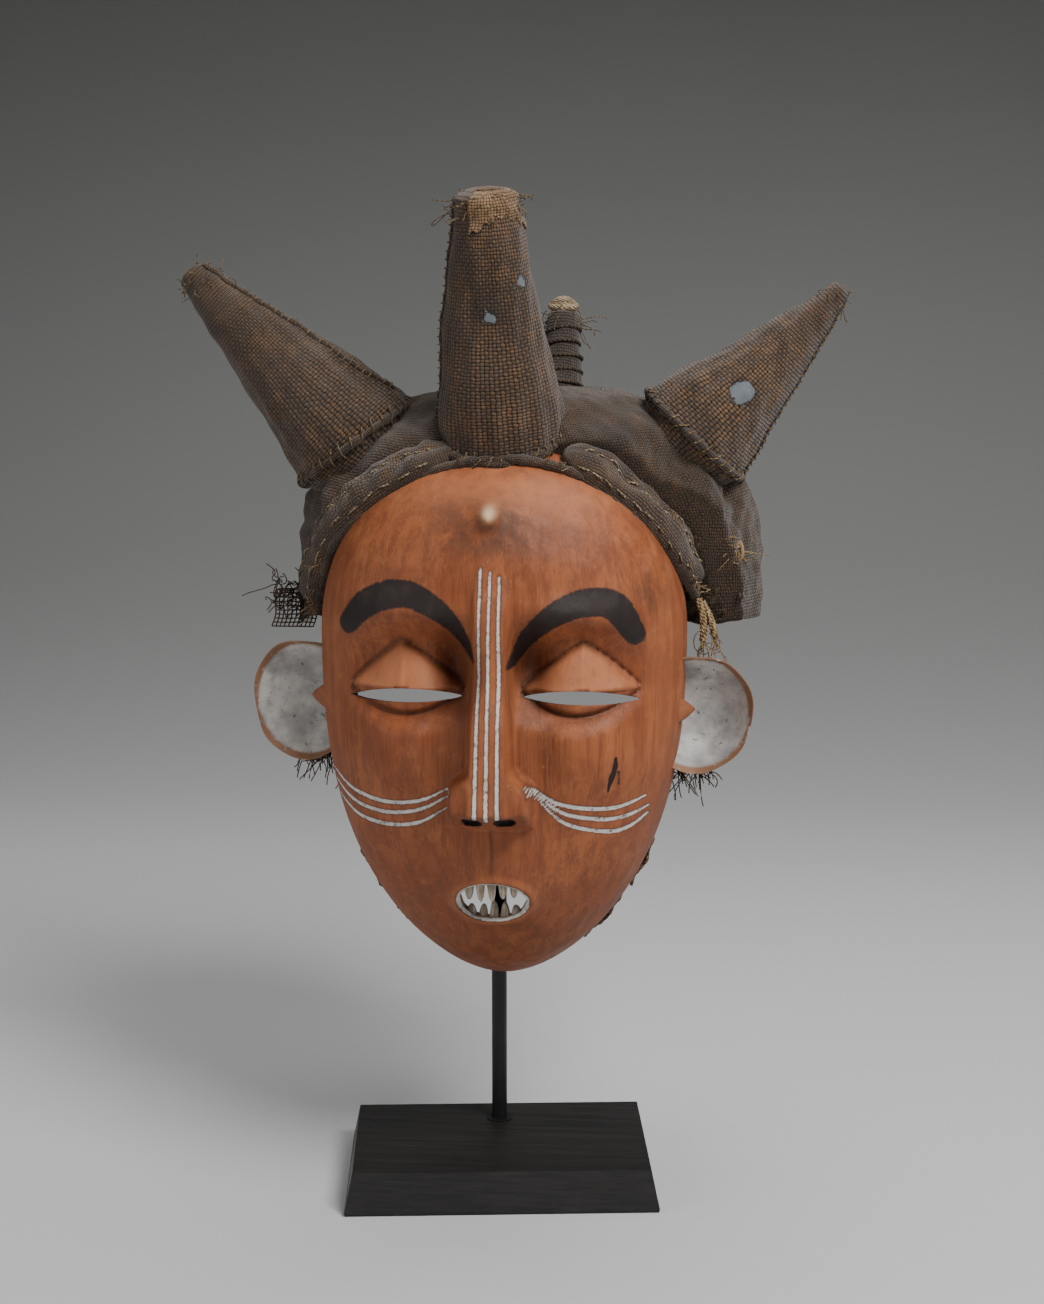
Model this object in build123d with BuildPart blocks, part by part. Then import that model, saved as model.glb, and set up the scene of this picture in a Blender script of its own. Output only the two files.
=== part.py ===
"""Carved face mask with a padded cloth cap and four stuffed cloth horns, on a post and base.

The frame: +Z up, the face looks along -Y, and X = 0 is the mask's middle plane.  Z = 0 is the
surface that the base stands on, and Y = 0 holds the post's axis.  All sizes are in millimetres.
"""

from build123d import *
import os
from math import atan2, cos, degrees, pi, radians, sin

# ---------------------------------------------------------------- stand
BASE_TOP_X = 180.0
BASE_TOP_Y = 103.0
BASE_SLOPE = 5.0  # each side of the block leans in by this much over its height
BASE_HEIGHT = 24.0
BASE_TURN = 6.7  # degrees that the base stands turned from the face
FELT = 1.5
POST_X = -4.5  # the mask hangs a little to one side of its post
POST_BACK = 28.6  # post axis behind the middle of the base
POST_R = 4.76
SPIGOT_R = 4.0
RUNNING_GAP = 0.05
SLEEVE_R = 6.5
FLANGE_R = 8.0
FLANGE = 0.8
SHOULDER_GAP = 0.1
RECESS_R = 12.0
RECESS_DEPTH = 6.0
SCREW_R = 2.0
SCREW_HEAD_R = 3.6
SCREW_HEAD = 2.4
SCREW_LENGTH = 12.0
WASHER_R = 9.0
WASHER = 1.5
WASHER_GAP = 0.2

# ---------------------------------------------------------------- mask, carved wood
RIM_Y = -8.0  # flat rear rim of the wooden bowl
FACE_W = 110.5  # half width at the widest level
FACE_D = 90.0  # depth from rim to front at that level
FACE_MID_Z = 345.0
FACE_UP = 117.0  # widest level to crown
FACE_DOWN = 217.0  # widest level to chin
WALL = 8.0
HEM_TOP = Vector(0, -50, 448)  # where the cap's front edge crosses the middle of the forehead
HEM_LEAN = 21.0  # degrees that the hem's plane leans forward from upright
EYE_X = 50.0
EYE_Z = 322.0
EYE_LENGTH = 68.0
EYE_RISE = 5.0
EYE_DROP = 2.4
MOUTH_Z = 194.0
MOUTH_A = 22.0
MOUTH_B = 15.0
TOOTH = 5.0  # thickness of a tooth
UPPER_TEETH, LOWER_TEETH = 72.0, 60.0  # how far the rows stand forward of the rim
EAR_X = 117.0
EAR_Z = {"left": 302.5, "right": 298.0}
EAR_A = 34.0
EAR_B = 37.0
EAR_EDGE = 4.0
EAR_FRONT_Y = -32.0
EAR_THICK = 20.0
EAR_CUP = 14.0
BOSS_Z = 421.0
BOSS_R = 9.0
BOSS_ROOT = 55.0
BOSS_LENGTH = 30.0

# ---------------------------------------------------------------- cap and horns, cloth
CAP = Vector(11.5, 30, 370)  # centre of the cap's dome
CAP_A, CAP_B, CAP_C = 143.0, 95.0, 120.0  # half axes of the dome
CLOTH = 3.0
PADDING = 8.0
CAP_HEM_Z = 352.0
PIPING = 6.0
ROLL_DEPTH = 24.0
ROLL_HEIGHT = 16.0
HORN_SKIN = 2.5
SEAM = 3.5
HORNS = {  # base centre, tip centre, base radius, tip radius
    "front": (Vector(0.5, -14, 440), Vector(-7, -48, 604), 41.0, 14.0),
    "left": (Vector(-82, 15, 447), Vector(-195, 15, 559), 41.0, 9.0),
    "right": (Vector(102, 15, 450), Vector(200, 15, 549), 37.0, 5.5),
    "back": (Vector(22, 86, 430), Vector(26, 128, 532), 24.0, 9.0),
}
SEAM_HEIGHT = 9.0
FILLING_FROM = {"front": 46.0, "left": 26.0, "right": 24.0, "back": 40.0}
SEAM_PLANES = {  # where each horn's axis leaves the cap, and the cap's direction outwards there
    "front": (Vector(0, -18, 467), Vector(0, -0.47, 0.88)),
    "left": (Vector(-90, 15, 456), Vector(-0.59, 0, 0.81)),
    "right": (Vector(113, 15, 461), Vector(0.67, 0, 0.74)),
    "back": (Vector(23, 97, 455), Vector(0.05, 0.81, 0.58)),
}
TIP_PATCH = 20.0
TIP_PATCH_THICK = 1.5
TIP_KNOT = 6.0
TUFT = Vector(137, -6, 394)
TUFT_R = 9.0
NET_SCRAP = (30.0, 29.0, 1.5)
NET_CENTRE = Vector(-133, 14, 349)
TASSEL_R = 2.2
STRIP_THICK = 2.0
STRIP_LOW, STRIP_HIGH = 152.0, 212.0
STRIP_WIDE = 11.0
LACING_R = 1.4
LACING_FROM_RIM = 5.0
LACING_LEVELS = (180.0, 205.0, 230.0, 255.0)

# ---------------------------------------------------------------- bracket inside the mask
BAR_R = 3.0
STEM_R = 2.6
BAR_Z = 432.7
BAR_Y = -38.0
BAR_HALF = 34.0
PAD_R = 5.5
PAD_LENGTH = 14.0
CHIN_PAD_R = 7.6
CHIN_PAD_Z = (129.0, 142.0)

SIDES = {"left": -1, "right": 1}
FAR = 600.0  # longer than the whole object, for cutting blocks

base_frame = Plane(
    (
        POST_X + POST_BACK * sin(radians(BASE_TURN)),
        -POST_BACK * cos(radians(BASE_TURN)),
        0,
    ),
    x_dir=(cos(radians(BASE_TURN)), sin(radians(BASE_TURN)), 0),
    z_dir=(0, 0, 1),
)
block_top = FELT + BASE_HEIGHT
recess_top = FELT + RECESS_DEPTH
post_foot = block_top + FLANGE + SHOULDER_GAP


def keep(builder, name):
    """Label a finished piece and write its STEP file."""
    builder.part.label = name
    export_step(builder.part, f"parts/{name}.step")


def post_plane(z):
    return Plane((POST_X, 0, z))


def disc(z, height, radius, hole=0.0):
    """A round solid on the post's axis, with an optional hole through it."""
    with BuildPart() as made:
        with BuildSketch(post_plane(z)):
            Circle(radius)
            if hole:
                Circle(hole, mode=Mode.SUBTRACT)
        extrude(amount=height)
    return made


# ================================================================ stand
def make_stand():
    with BuildPart() as base_felt:
        with BuildSketch(base_frame):
            Rectangle(BASE_TOP_X + 2 * BASE_SLOPE - 1, BASE_TOP_Y + 2 * BASE_SLOPE - 1)
        extrude(amount=FELT)
    keep(base_felt, "base_felt")

    with BuildPart() as base_block:
        with BuildSketch(base_frame.offset(FELT)):
            Rectangle(BASE_TOP_X + 2 * BASE_SLOPE, BASE_TOP_Y + 2 * BASE_SLOPE)
        extrude(amount=BASE_HEIGHT, taper=degrees(atan2(BASE_SLOPE, BASE_HEIGHT)))
        with BuildSketch(post_plane(FELT)):
            Circle(SLEEVE_R)
        extrude(amount=BASE_HEIGHT, mode=Mode.SUBTRACT)
        with BuildSketch(post_plane(FELT)):
            Circle(RECESS_R)
        extrude(amount=RECESS_DEPTH, mode=Mode.SUBTRACT)
    keep(base_block, "base_block")

    with BuildPart() as socket_sleeve:
        with BuildSketch(post_plane(recess_top)):
            Circle(SLEEVE_R)
        extrude(amount=block_top - recess_top)
        with BuildSketch(post_plane(block_top)):
            Circle(FLANGE_R)
        extrude(amount=FLANGE)
        with BuildSketch(post_plane(recess_top)):
            Circle(SPIGOT_R + RUNNING_GAP)
        extrude(amount=block_top + FLANGE - recess_top, mode=Mode.SUBTRACT)
    keep(socket_sleeve, "socket_sleeve")

    spigot_end = recess_top - WASHER_GAP
    with BuildPart() as mount_post:
        with BuildSketch(post_plane(spigot_end)):
            Circle(SPIGOT_R)
        extrude(amount=post_foot - spigot_end)
        with BuildSketch(post_plane(post_foot)):
            Circle(POST_R)
        extrude(amount=BAR_Z + POST_R - post_foot)
        fillet(mount_post.edges().group_by(Axis.Z)[-1], POST_R * 0.6)
        with BuildSketch(post_plane(spigot_end)):
            Circle(SCREW_R)
        extrude(amount=SCREW_LENGTH, mode=Mode.SUBTRACT)
    keep(mount_post, "mount_post")

    washer = disc(spigot_end - WASHER, WASHER, WASHER_R, SCREW_R)
    keep(washer, "retaining_washer")

    head_z = spigot_end - WASHER - SCREW_HEAD
    with BuildPart() as retaining_screw:
        with BuildSketch(post_plane(head_z)):
            Circle(SCREW_HEAD_R)
        extrude(amount=SCREW_HEAD)
        with BuildSketch(post_plane(head_z + SCREW_HEAD)):
            Circle(SCREW_R)
        extrude(amount=WASHER + SCREW_LENGTH)
        with BuildSketch(post_plane(head_z)):
            RegularPolygon(SCREW_R * 0.8, 6)
        extrude(amount=SCREW_HEAD * 0.6, mode=Mode.SUBTRACT)
    keep(retaining_screw, "retaining_screw")


def make_bracket():
    """A T of round bar on the post's top, with felt on the ends that carry the mask."""
    reach = -BAR_Y
    with BuildPart() as crown_bar:
        with BuildSketch(Plane((POST_X, 0, BAR_Z), z_dir=(0, -1, 0))):
            Circle(STEM_R)
        extrude(amount=reach)
        with BuildSketch(Plane((POST_X - BAR_HALF, BAR_Y, BAR_Z), z_dir=(1, 0, 0))):
            Circle(BAR_R)
        extrude(amount=2 * BAR_HALF)
        with BuildSketch(post_plane(BAR_Z - 2 * POST_R)):
            Circle(POST_R)
        extrude(amount=4 * POST_R, mode=Mode.SUBTRACT)
    keep(crown_bar, "crown_bar")

    for side, sign in SIDES.items():
        inner = POST_X + sign * (BAR_HALF - PAD_LENGTH + 1)
        with BuildPart() as pad:
            with BuildSketch(Plane((inner, BAR_Y, BAR_Z), z_dir=(sign, 0, 0))):
                Circle(PAD_R)
            extrude(amount=PAD_LENGTH)
            fillet(pad.edges(), 1.5)
            with BuildSketch(Plane((inner, BAR_Y, BAR_Z), z_dir=(sign, 0, 0))):
                Circle(BAR_R)
            extrude(amount=PAD_LENGTH - 1, mode=Mode.SUBTRACT)
        keep(pad, f"crown_pad_{side}")

    chin_pad = disc(CHIN_PAD_Z[0], CHIN_PAD_Z[1] - CHIN_PAD_Z[0], CHIN_PAD_R, POST_R)
    keep(chin_pad, "chin_pad")


# ================================================================ wooden face
SECTIONS = 13
SECTION_END = radians(81)
WIDTH_POWER, DEPTH_POWER = 2.3, 2.2


def bowl(offset=0.0, open_back=0.0):
    """The face's egg-shaped half dome, its skin moved out by offset, and run on behind the rim."""
    with BuildPart() as made:
        for k in range(SECTIONS):
            v = -SECTION_END + 2 * SECTION_END * k / (SECTIONS - 1)
            t = abs(sin(v))
            if v > 0:
                z = FACE_MID_Z + (FACE_UP + offset) * t
                w = (FACE_W + offset) * (1 - t**2) ** 0.5
                d = (FACE_D + offset) * (1 - t**2.4) ** 0.55
            else:
                z = FACE_MID_Z - (FACE_DOWN + offset) * t
                w = (FACE_W + offset) * (1 - t**2.6) ** 0.62
                d = (FACE_D + offset) * (1 - t**2.8) ** 0.60
            outline = [
                (
                    -w * (1 if cos(a) > 0 else -1) * abs(cos(a)) ** (2 / WIDTH_POWER),
                    RIM_Y - d * sin(a) ** (2 / DEPTH_POWER),
                )
                for a in (pi * i / 10 for i in range(1, 10))
            ]
            with BuildSketch(Plane.XY.offset(z)):
                with BuildLine():
                    Spline([(-w, RIM_Y), *outline, (w, RIM_Y)], tangents=[(0, -1), (0, 1)])
                    Polyline(
                        (w, RIM_Y),
                        (w, RIM_Y + open_back),
                        (-w, RIM_Y + open_back),
                        (-w, RIM_Y),
                    ) if open_back else Line((w, RIM_Y), (-w, RIM_Y))
                make_face()
        loft()
    return made.part


def nose_block():
    """The nose as a loft down the bridge, from its root to the flat cut under its tip."""
    levels = [  # height, half width, how far it stands forward of the rim
        (392, 8, 92),
        (345, 11, 98),
        (295, 13, 107),
        (268, 21, 114),
        (250, 22, 112),
    ]
    with BuildPart() as made:
        for z, half, forward in levels:
            with BuildSketch(Plane.XY.offset(z)):
                with Locations((0, RIM_Y - forward / 2 - 20)):
                    RectangleRounded(2 * half, forward - 40, 5)
        loft(ruled=True)
    return made.part


def boss():
    """The small round knob that is left standing in the middle of the forehead."""
    with BuildPart() as made:
        with BuildSketch(Plane((0, RIM_Y - BOSS_ROOT, BOSS_Z), z_dir=(0, -1, 0))):
            Circle(BOSS_R)
        extrude(amount=BOSS_LENGTH)
        fillet(made.faces().sort_by(Axis.Y)[0].edges(), BOSS_R * 0.65)
    return made.part


def ear_cup(side):
    """A round cup on the side of the head, hollow towards the front."""
    centre = Vector(SIDES[side] * EAR_X, EAR_FRONT_Y, EAR_Z[side])
    front = Plane(centre, x_dir=(1, 0, 0), z_dir=(0, -1, 0))
    with BuildPart() as made:
        with BuildSketch(front.offset(-EAR_THICK)):
            Ellipse(EAR_A, EAR_B)
        extrude(amount=EAR_THICK)
        fillet(made.faces().sort_by(Axis.Y)[-1].edges(), 8)
        with BuildSketch(front.offset(-EAR_CUP)):
            Ellipse(EAR_A - EAR_EDGE, EAR_B - EAR_EDGE)
        extrude(amount=EAR_CUP, mode=Mode.SUBTRACT)
    return made.part


def tooth_row(sign, count, forward):
    """Pointed teeth on the mouth's edge: sign +1 hangs them from above, -1 stands them below."""
    pitch = 2 * MOUTH_A * 0.82 / count
    y = RIM_Y - forward
    with BuildPart() as made:
        for k in range(count):
            x = (k - (count - 1) / 2) * pitch
            root = MOUTH_Z + sign * (MOUTH_B * (1 - (x / MOUTH_A) ** 2) ** 0.5 + 2)
            tip = MOUTH_Z + sign * 2.2
            with BuildSketch(Plane((0, y, 0), x_dir=(1, 0, 0), z_dir=(0, 1, 0))):
                with BuildLine():
                    Polyline(
                        (x - pitch * 0.42, -root),
                        (x + pitch * 0.42, -root),
                        (x + pitch * 0.16, -tip),
                        (x - pitch * 0.16, -tip),
                        close=True,
                    )
                make_face()
            extrude(amount=TOOTH)
    return made.part


def eye_slit(sign):
    """A long lens cut through the wall, higher above its chord than below it."""
    left = (sign * EYE_X - EYE_LENGTH / 2, EYE_Z)
    right = (sign * EYE_X + EYE_LENGTH / 2, EYE_Z)
    with BuildPart() as made:
        with BuildSketch(Plane((0, 0, 0), x_dir=(1, 0, 0), z_dir=(0, -1, 0))):
            with BuildLine():
                ThreePointArc(left, (sign * EYE_X, EYE_Z + EYE_RISE), right)
                ThreePointArc(right, (sign * EYE_X, EYE_Z - EYE_DROP), left)
            make_face()
        extrude(amount=FAR)
    return made.part


def mouth_cut():
    with BuildPart() as made:
        with BuildSketch(Plane((0, RIM_Y - 20, MOUTH_Z), x_dir=(1, 0, 0), z_dir=(0, -1, 0))):
            Ellipse(MOUTH_A, MOUTH_B)
        extrude(amount=FAR)
    return made.part


def lacing_holes():
    """Small holes across the rim, through both walls at once."""
    with BuildPart() as made:
        for z in LACING_LEVELS:
            with BuildSketch(Plane((-FAR / 2, RIM_Y - LACING_FROM_RIM, z), z_dir=(1, 0, 0))):
                Circle(LACING_R)
            extrude(amount=FAR)
    return made.part


def make_face_bowl(outer, inner):
    """The carving as one block: features are joined on, then the hollow and openings are cut."""
    with BuildPart() as carved_face:
        add(outer)
        add(nose_block())
        for side in SIDES:
            add(ear_cup(side))
        add(boss())
        add(inner, mode=Mode.SUBTRACT)
        for sign in SIDES.values():
            add(eye_slit(sign), mode=Mode.SUBTRACT)
        add(mouth_cut(), mode=Mode.SUBTRACT)
        for tooth in tooth_row(1, 5, UPPER_TEETH).solids() + tooth_row(-1, 6, LOWER_TEETH).solids():
            add(tooth)
        add(lacing_holes(), mode=Mode.SUBTRACT)
    keep(carved_face, "carved_face")


# ================================================================ cloth cap
def dome(offset=0.0):
    """The cap's elliptical dome, its skin moved out by offset."""
    with BuildPart() as made:
        for k in range(9):
            rise = radians(-18 + 104 * k / 8)
            with BuildSketch(Plane(CAP + Vector(0, 0, (CAP_C + offset) * sin(rise)))):
                Ellipse((CAP_A + offset) * cos(rise), (CAP_B + offset) * cos(rise))
        loft()
    return made.part


def hem_plane(back=0.0):
    """The leaning plane of the cap's front edge, moved back towards the crown."""
    lean = radians(HEM_LEAN)
    forward = Vector(0, -cos(lean), -sin(lean))
    return Plane(HEM_TOP - forward * back, x_dir=(1, 0, 0), z_dir=forward)


def half_space(plane, behind=True):
    """A large block on one side of a plane."""
    with BuildPart() as made:
        with BuildSketch(plane):
            Rectangle(2 * FAR, 2 * FAR)
        extrude(amount=-FAR if behind else FAR)
    return made.part


def cap_solid(offset):
    """The dome behind the hem and above the cap's lower edge."""
    with BuildPart() as made:
        add(dome(offset))
        add(half_space(hem_plane(ROLL_DEPTH)), mode=Mode.INTERSECT)
        add(half_space(Plane.XY.offset(CAP_HEM_Z), behind=False), mode=Mode.INTERSECT)
    return made.part


def cap_layer(name, outside, inside, outer):
    """One layer of the cap: a shell of the dome behind the hem and above the cap's lower edge."""
    with BuildPart() as layer:
        add(cap_solid(outside))
        add(dome(inside), mode=Mode.SUBTRACT)
        add(outer, mode=Mode.SUBTRACT)
    keep(layer, name)


def hem_band(outer, thick, front, back):
    """A strip of the given thickness on the wood, between two planes behind the hem."""
    with BuildPart() as band:
        add(bowl(thick))
        add(outer, mode=Mode.SUBTRACT)
        add(half_space(hem_plane(front)), mode=Mode.INTERSECT)
        add(half_space(hem_plane(back), behind=False), mode=Mode.INTERSECT)
        add(half_space(Plane.XY.offset(CAP_HEM_Z + 6), behind=False), mode=Mode.INTERSECT)
    return band.part


def make_hem(outer):
    """The piping along the hem, and a padded roll behind it on each side of the front horn."""
    piping = hem_band(outer, PIPING, 0, PIPING)
    with BuildPart() as cap_piping:
        add(piping)
    keep(cap_piping, "cap_piping")
    band = hem_band(outer, ROLL_HEIGHT, PIPING, ROLL_DEPTH)
    for side, sign in SIDES.items():
        with BuildPart() as roll:
            add(band)
            add(half_space(Plane.YZ.offset(POST_X), behind=sign < 0), mode=Mode.INTERSECT)
            for base, tip, wide, narrow in HORNS.values():
                add(cone(base, tip, wide + SEAM, narrow + SEAM), mode=Mode.SUBTRACT)
        keep(roll, f"brow_roll_{side}")
    return piping


# ================================================================ horns
def cone(base, tip, wide, narrow):
    """A round tapered solid between two points."""
    along = tip - base
    with BuildPart() as made:
        with BuildSketch(Plane(base, z_dir=along)):
            Circle(wide)
        with BuildSketch(Plane(tip, z_dir=along)):
            Circle(narrow)
        loft()
    return made.part


def make_horn(side, under):
    """A tapered cloth tube, its filling, and the rolled seam that sews it to the cap."""
    base, tip, wide, narrow = HORNS[side]
    up = (tip - base).normalized()
    whole = cone(base, tip, wide, narrow)
    core = cone(base - up, tip - up * HORN_SKIN, wide - HORN_SKIN, narrow - HORN_SKIN)

    with BuildPart() as skin:
        add(whole)
        add(core, mode=Mode.SUBTRACT)
        for solid in under:
            add(solid, mode=Mode.SUBTRACT)
    keep(skin, f"horn_{side}_cloth")

    start = FILLING_FROM[side]
    thinned = (wide - narrow) * (start + 1) / ((tip - base).length + 1 - HORN_SKIN)
    with BuildPart() as filling:
        add(cone(base + up * start, tip - up * HORN_SKIN, wide - HORN_SKIN - thinned, narrow - HORN_SKIN))
    keep(filling, f"horn_{side}_filling")

    middle, outwards = SEAM_PLANES[side]
    half = outwards.normalized() * SEAM_HEIGHT / 2
    with BuildPart() as seam:
        add(cone(base - up * wide / 2, tip, wide + 1.5 * SEAM, narrow + SEAM))
        add(half_space(Plane(middle + half, z_dir=outwards)), mode=Mode.INTERSECT)
        add(half_space(Plane(middle - half, z_dir=outwards), behind=False), mode=Mode.INTERSECT)
        add(whole, mode=Mode.SUBTRACT)
        for solid in under:
            add(solid, mode=Mode.SUBTRACT)
    keep(seam, f"horn_{side}_seam")


def make_tips():
    """The patch folded over the front horn's tip, and the knot that closes the back horn."""
    base, tip, wide, narrow = HORNS["front"]
    up = (tip - base).normalized()
    low = tip - up * TIP_PATCH
    low_radius = narrow + (wide - narrow) * TIP_PATCH / (tip - base).length
    with BuildPart() as horn_front_patch:
        add(cone(low, tip + up * TIP_PATCH_THICK, low_radius + TIP_PATCH_THICK, narrow + TIP_PATCH_THICK))
        add(cone(base, tip, wide, narrow), mode=Mode.SUBTRACT)
    keep(horn_front_patch, "horn_front_patch")

    base, tip, wide, narrow = HORNS["back"]
    up = (tip - base).normalized()
    with BuildPart() as horn_back_knot:
        with BuildSketch(Plane(tip, z_dir=up)):
            Circle(narrow)
        extrude(amount=TIP_KNOT)
        fillet(horn_back_knot.edges(), 2.5)
    keep(horn_back_knot, "horn_back_knot")


def make_trims(outer):
    """The small pieces tied and sewn to the rim of the mask and the edge of the cap."""
    with BuildPart() as rear_tuft:
        with Locations(TUFT):
            Sphere(TUFT_R)
        add(dome(), mode=Mode.SUBTRACT)
    keep(rear_tuft, "rear_tuft")

    wide, tall, thick = NET_SCRAP
    with BuildPart() as net_scrap:
        with BuildSketch(Plane(NET_CENTRE, x_dir=(1, 0, 0), z_dir=(0, 1, 0))):
            Rectangle(wide, tall)
        extrude(amount=thick)
        add(dome(), mode=Mode.SUBTRACT)
    keep(net_scrap, "net_scrap")

    for side, sign in SIDES.items():
        with BuildPart() as jaw_strip:
            with BuildSketch(Plane((sign * FACE_W / 2, RIM_Y - STRIP_WIDE / 2 - 0.5, STRIP_LOW))):
                Rectangle(FACE_W, STRIP_WIDE)
            extrude(amount=STRIP_HIGH - STRIP_LOW)
            add(bowl(STRIP_THICK), mode=Mode.INTERSECT)
            add(outer, mode=Mode.SUBTRACT)
        keep(jaw_strip, f"jaw_strip_{side}")


def main():
    os.makedirs("parts", exist_ok=True)
    make_stand()
    make_bracket()
    outer = bowl()
    inner = bowl(-WALL, open_back=12)
    make_face_bowl(outer, inner)
    cap_layer("cap_crown", 0, -CLOTH, outer)
    cap_layer("cap_padding", -CLOTH, -CLOTH - PADDING, outer)
    cap_layer("cap_lining", -CLOTH - PADDING, -2 * CLOTH - PADDING, outer)
    piping = make_hem(outer)
    under = (dome(), outer, piping)
    for side in HORNS:
        make_horn(side, under)
    make_tips()
    make_trims(outer)


main()
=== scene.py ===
"""Looks of the carved wooden mask: the carving, its padded cloth cap and horns, trims and stand.

Shapes are worked out in millimetres in the part's own frame and stored in metres: +Z is up, the
face looks along -Y, and X = 0 is the mask's middle plane.
"""

from math import cos, pi, radians, sin

import bmesh
import bpy
import numpy as np
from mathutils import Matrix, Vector


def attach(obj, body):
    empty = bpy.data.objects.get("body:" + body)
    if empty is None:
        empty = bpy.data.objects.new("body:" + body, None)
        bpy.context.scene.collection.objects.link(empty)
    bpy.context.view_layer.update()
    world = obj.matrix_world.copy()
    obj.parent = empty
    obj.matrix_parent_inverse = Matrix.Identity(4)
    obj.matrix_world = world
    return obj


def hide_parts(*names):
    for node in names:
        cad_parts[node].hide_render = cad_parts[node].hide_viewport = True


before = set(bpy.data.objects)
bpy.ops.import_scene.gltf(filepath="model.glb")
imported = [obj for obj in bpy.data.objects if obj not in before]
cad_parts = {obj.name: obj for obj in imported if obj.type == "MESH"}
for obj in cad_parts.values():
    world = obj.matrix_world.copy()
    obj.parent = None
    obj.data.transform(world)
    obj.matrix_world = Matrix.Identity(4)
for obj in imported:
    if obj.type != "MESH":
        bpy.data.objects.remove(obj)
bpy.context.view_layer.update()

bl_info = {
    "name": "Carved Mask",
    "version": (1, 0, 0),
    "blender": (4, 5, 0),
    "location": "View3D > Sidebar > Mask",
    "description": "Builds a carved wooden mask with a padded cloth cap and horns, and its stand",
    "category": "Add Mesh",
}

MM = 0.001

# carving
RIM_Y = -8.0
FACE_W, FACE_D = 110.5, 90.0
FACE_MID_Z, FACE_UP, FACE_DOWN = 345.0, 117.0, 217.0
EYE_X, EYE_Z = 50.0, 321.0
EYE_IN, EYE_OUT = 15.5, 85.0
MOUTH_X, MOUTH_Z, MOUTH_A, MOUTH_B = -0.5, 194.0, 19.5, 12.5
NOSE_X, NOSE_TOP, NOSE_TIP, NOSE_FOOT = 0.3, 392.0, 258.0, 245.0

# cap and horns
CAP_CENTRE = np.array([11.5, 30.0, 370.0])
CAP_AXES = np.array([142.0, 94.0, 119.0])
HEM_TOP_Y, HEM_TOP_Z, HEM_SLOPE = -50.0, 448.0, 30.0 / 86.0


# ---------------------------------------------------------------- settings
class MaskCarvingSettings(bpy.types.PropertyGroup):
    wall: bpy.props.FloatProperty(
        name="Wall", description="Thickness of the carved wood, in millimetres", default=8.0, min=3.0
    )
    socket_depth: bpy.props.FloatProperty(
        name="Socket depth", description="How far the eye sockets sink, in millimetres", default=14.0
    )
    lid_height: bpy.props.FloatProperty(
        name="Lid height", description="How far the upper lids stand out, in millimetres", default=13.0
    )
    nose_height: bpy.props.FloatProperty(
        name="Nose height", description="How far the nose's tip stands out, in millimetres", default=27.0
    )
    columns: bpy.props.IntProperty(
        name="Columns", description="Points across the front of the carving", default=240, min=40
    )
    rows: bpy.props.IntProperty(
        name="Rows", description="Points from the chin to the widest level", default=190, min=40
    )


class MaskClothSettings(bpy.types.PropertyGroup):
    stitch: bpy.props.FloatProperty(
        name="Stitch", description="Length of a running stitch, in millimetres", default=5.0, min=1.0
    )


class MaskStageSettings(bpy.types.PropertyGroup):
    key_power: bpy.props.FloatProperty(
        name="Key light", description="Power of the large light above, in watts", default=34.0, min=0.0
    )
    fill_power: bpy.props.FloatProperty(
        name="Fill light", description="Power of the light at the side, in watts", default=7.0, min=0.0
    )
    sky: bpy.props.FloatProperty(
        name="Surroundings", description="Brightness of the grey all round", default=0.35, min=0.0
    )


# ---------------------------------------------------------------- numbers and fields
def smooth(x, low, high):
    """0 below low, 1 above high, and a smooth S between them; low may be above high."""
    t = np.clip((x - low) / (high - low), 0.0, 1.0)
    return t * t * (3.0 - 2.0 * t)


def hill(x, z, cx, cz, rx, rz):
    """A round hill of height 1 at (cx, cz) that falls as exp(-r²) with the given radii."""
    return np.exp(-(((x - cx) / rx) ** 2) - ((z - cz) / rz) ** 2)


def waves(points, scale, seed, count=9):
    """Smooth unevenness between about -1 and 1: a sum of sines in random directions in space."""
    rng = np.random.default_rng(seed)
    total = np.zeros(points.shape[:-1])
    for _ in range(count):
        direction = rng.normal(size=3)
        direction *= rng.uniform(0.6, 1.5) / np.linalg.norm(direction) * 2 * pi / scale
        total += np.sin(points @ direction + rng.uniform(0, 2 * pi))
    return total / np.sqrt(count)


def through(stations, values, x):
    """Smooth curve through a few stations, as a cubic with level ends to its neighbours."""
    stations, values = np.asarray(stations, float), np.asarray(values, float)
    slopes = np.gradient(values, stations, axis=0)
    k = np.clip(np.searchsorted(stations, x) - 1, 0, len(stations) - 2)
    h = stations[k + 1] - stations[k]
    t = (x - stations[k]) / h
    if values.ndim > 1:
        h, t = h[..., None], t[..., None]
    a, b, c, d = values[k], values[k + 1], slopes[k] * h, slopes[k + 1] * h
    value = a * (1 + 2 * t) * (1 - t) ** 2 + b * t * t * (3 - 2 * t)
    return value + c * t * (1 - t) ** 2 - d * t * t * (1 - t)


def stroke(x, z, path, radii, samples=40):
    """Distance in the X-Z plane from a curve drawn through path, less the brush's radius there."""
    s = np.linspace(0, len(path) - 1, samples)
    line = through(range(len(path)), path, s)
    brush = np.interp(s, np.linspace(0, len(path) - 1, len(radii)), radii)
    best = np.full(np.shape(x), 1e3)
    for (px, pz), (qx, qz), r in zip(line[:-1], line[1:], brush):
        dx, dz = qx - px, qz - pz
        t = np.clip(((x - px) * dx + (z - pz) * dz) / (dx * dx + dz * dz), 0, 1)
        best = np.minimum(best, np.hypot(x - px - t * dx, z - pz - t * dz) - r)
    return best


# ---------------------------------------------------------------- meshes
def grid_faces(rows, cols):
    """Corner numbers of the quads of a rows x cols grid of points."""
    a = (np.arange(rows - 1)[:, None] * cols + np.arange(cols - 1)[None, :]).ravel()
    return np.stack([a, a + 1, a + cols + 1, a + cols], -1)


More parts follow.
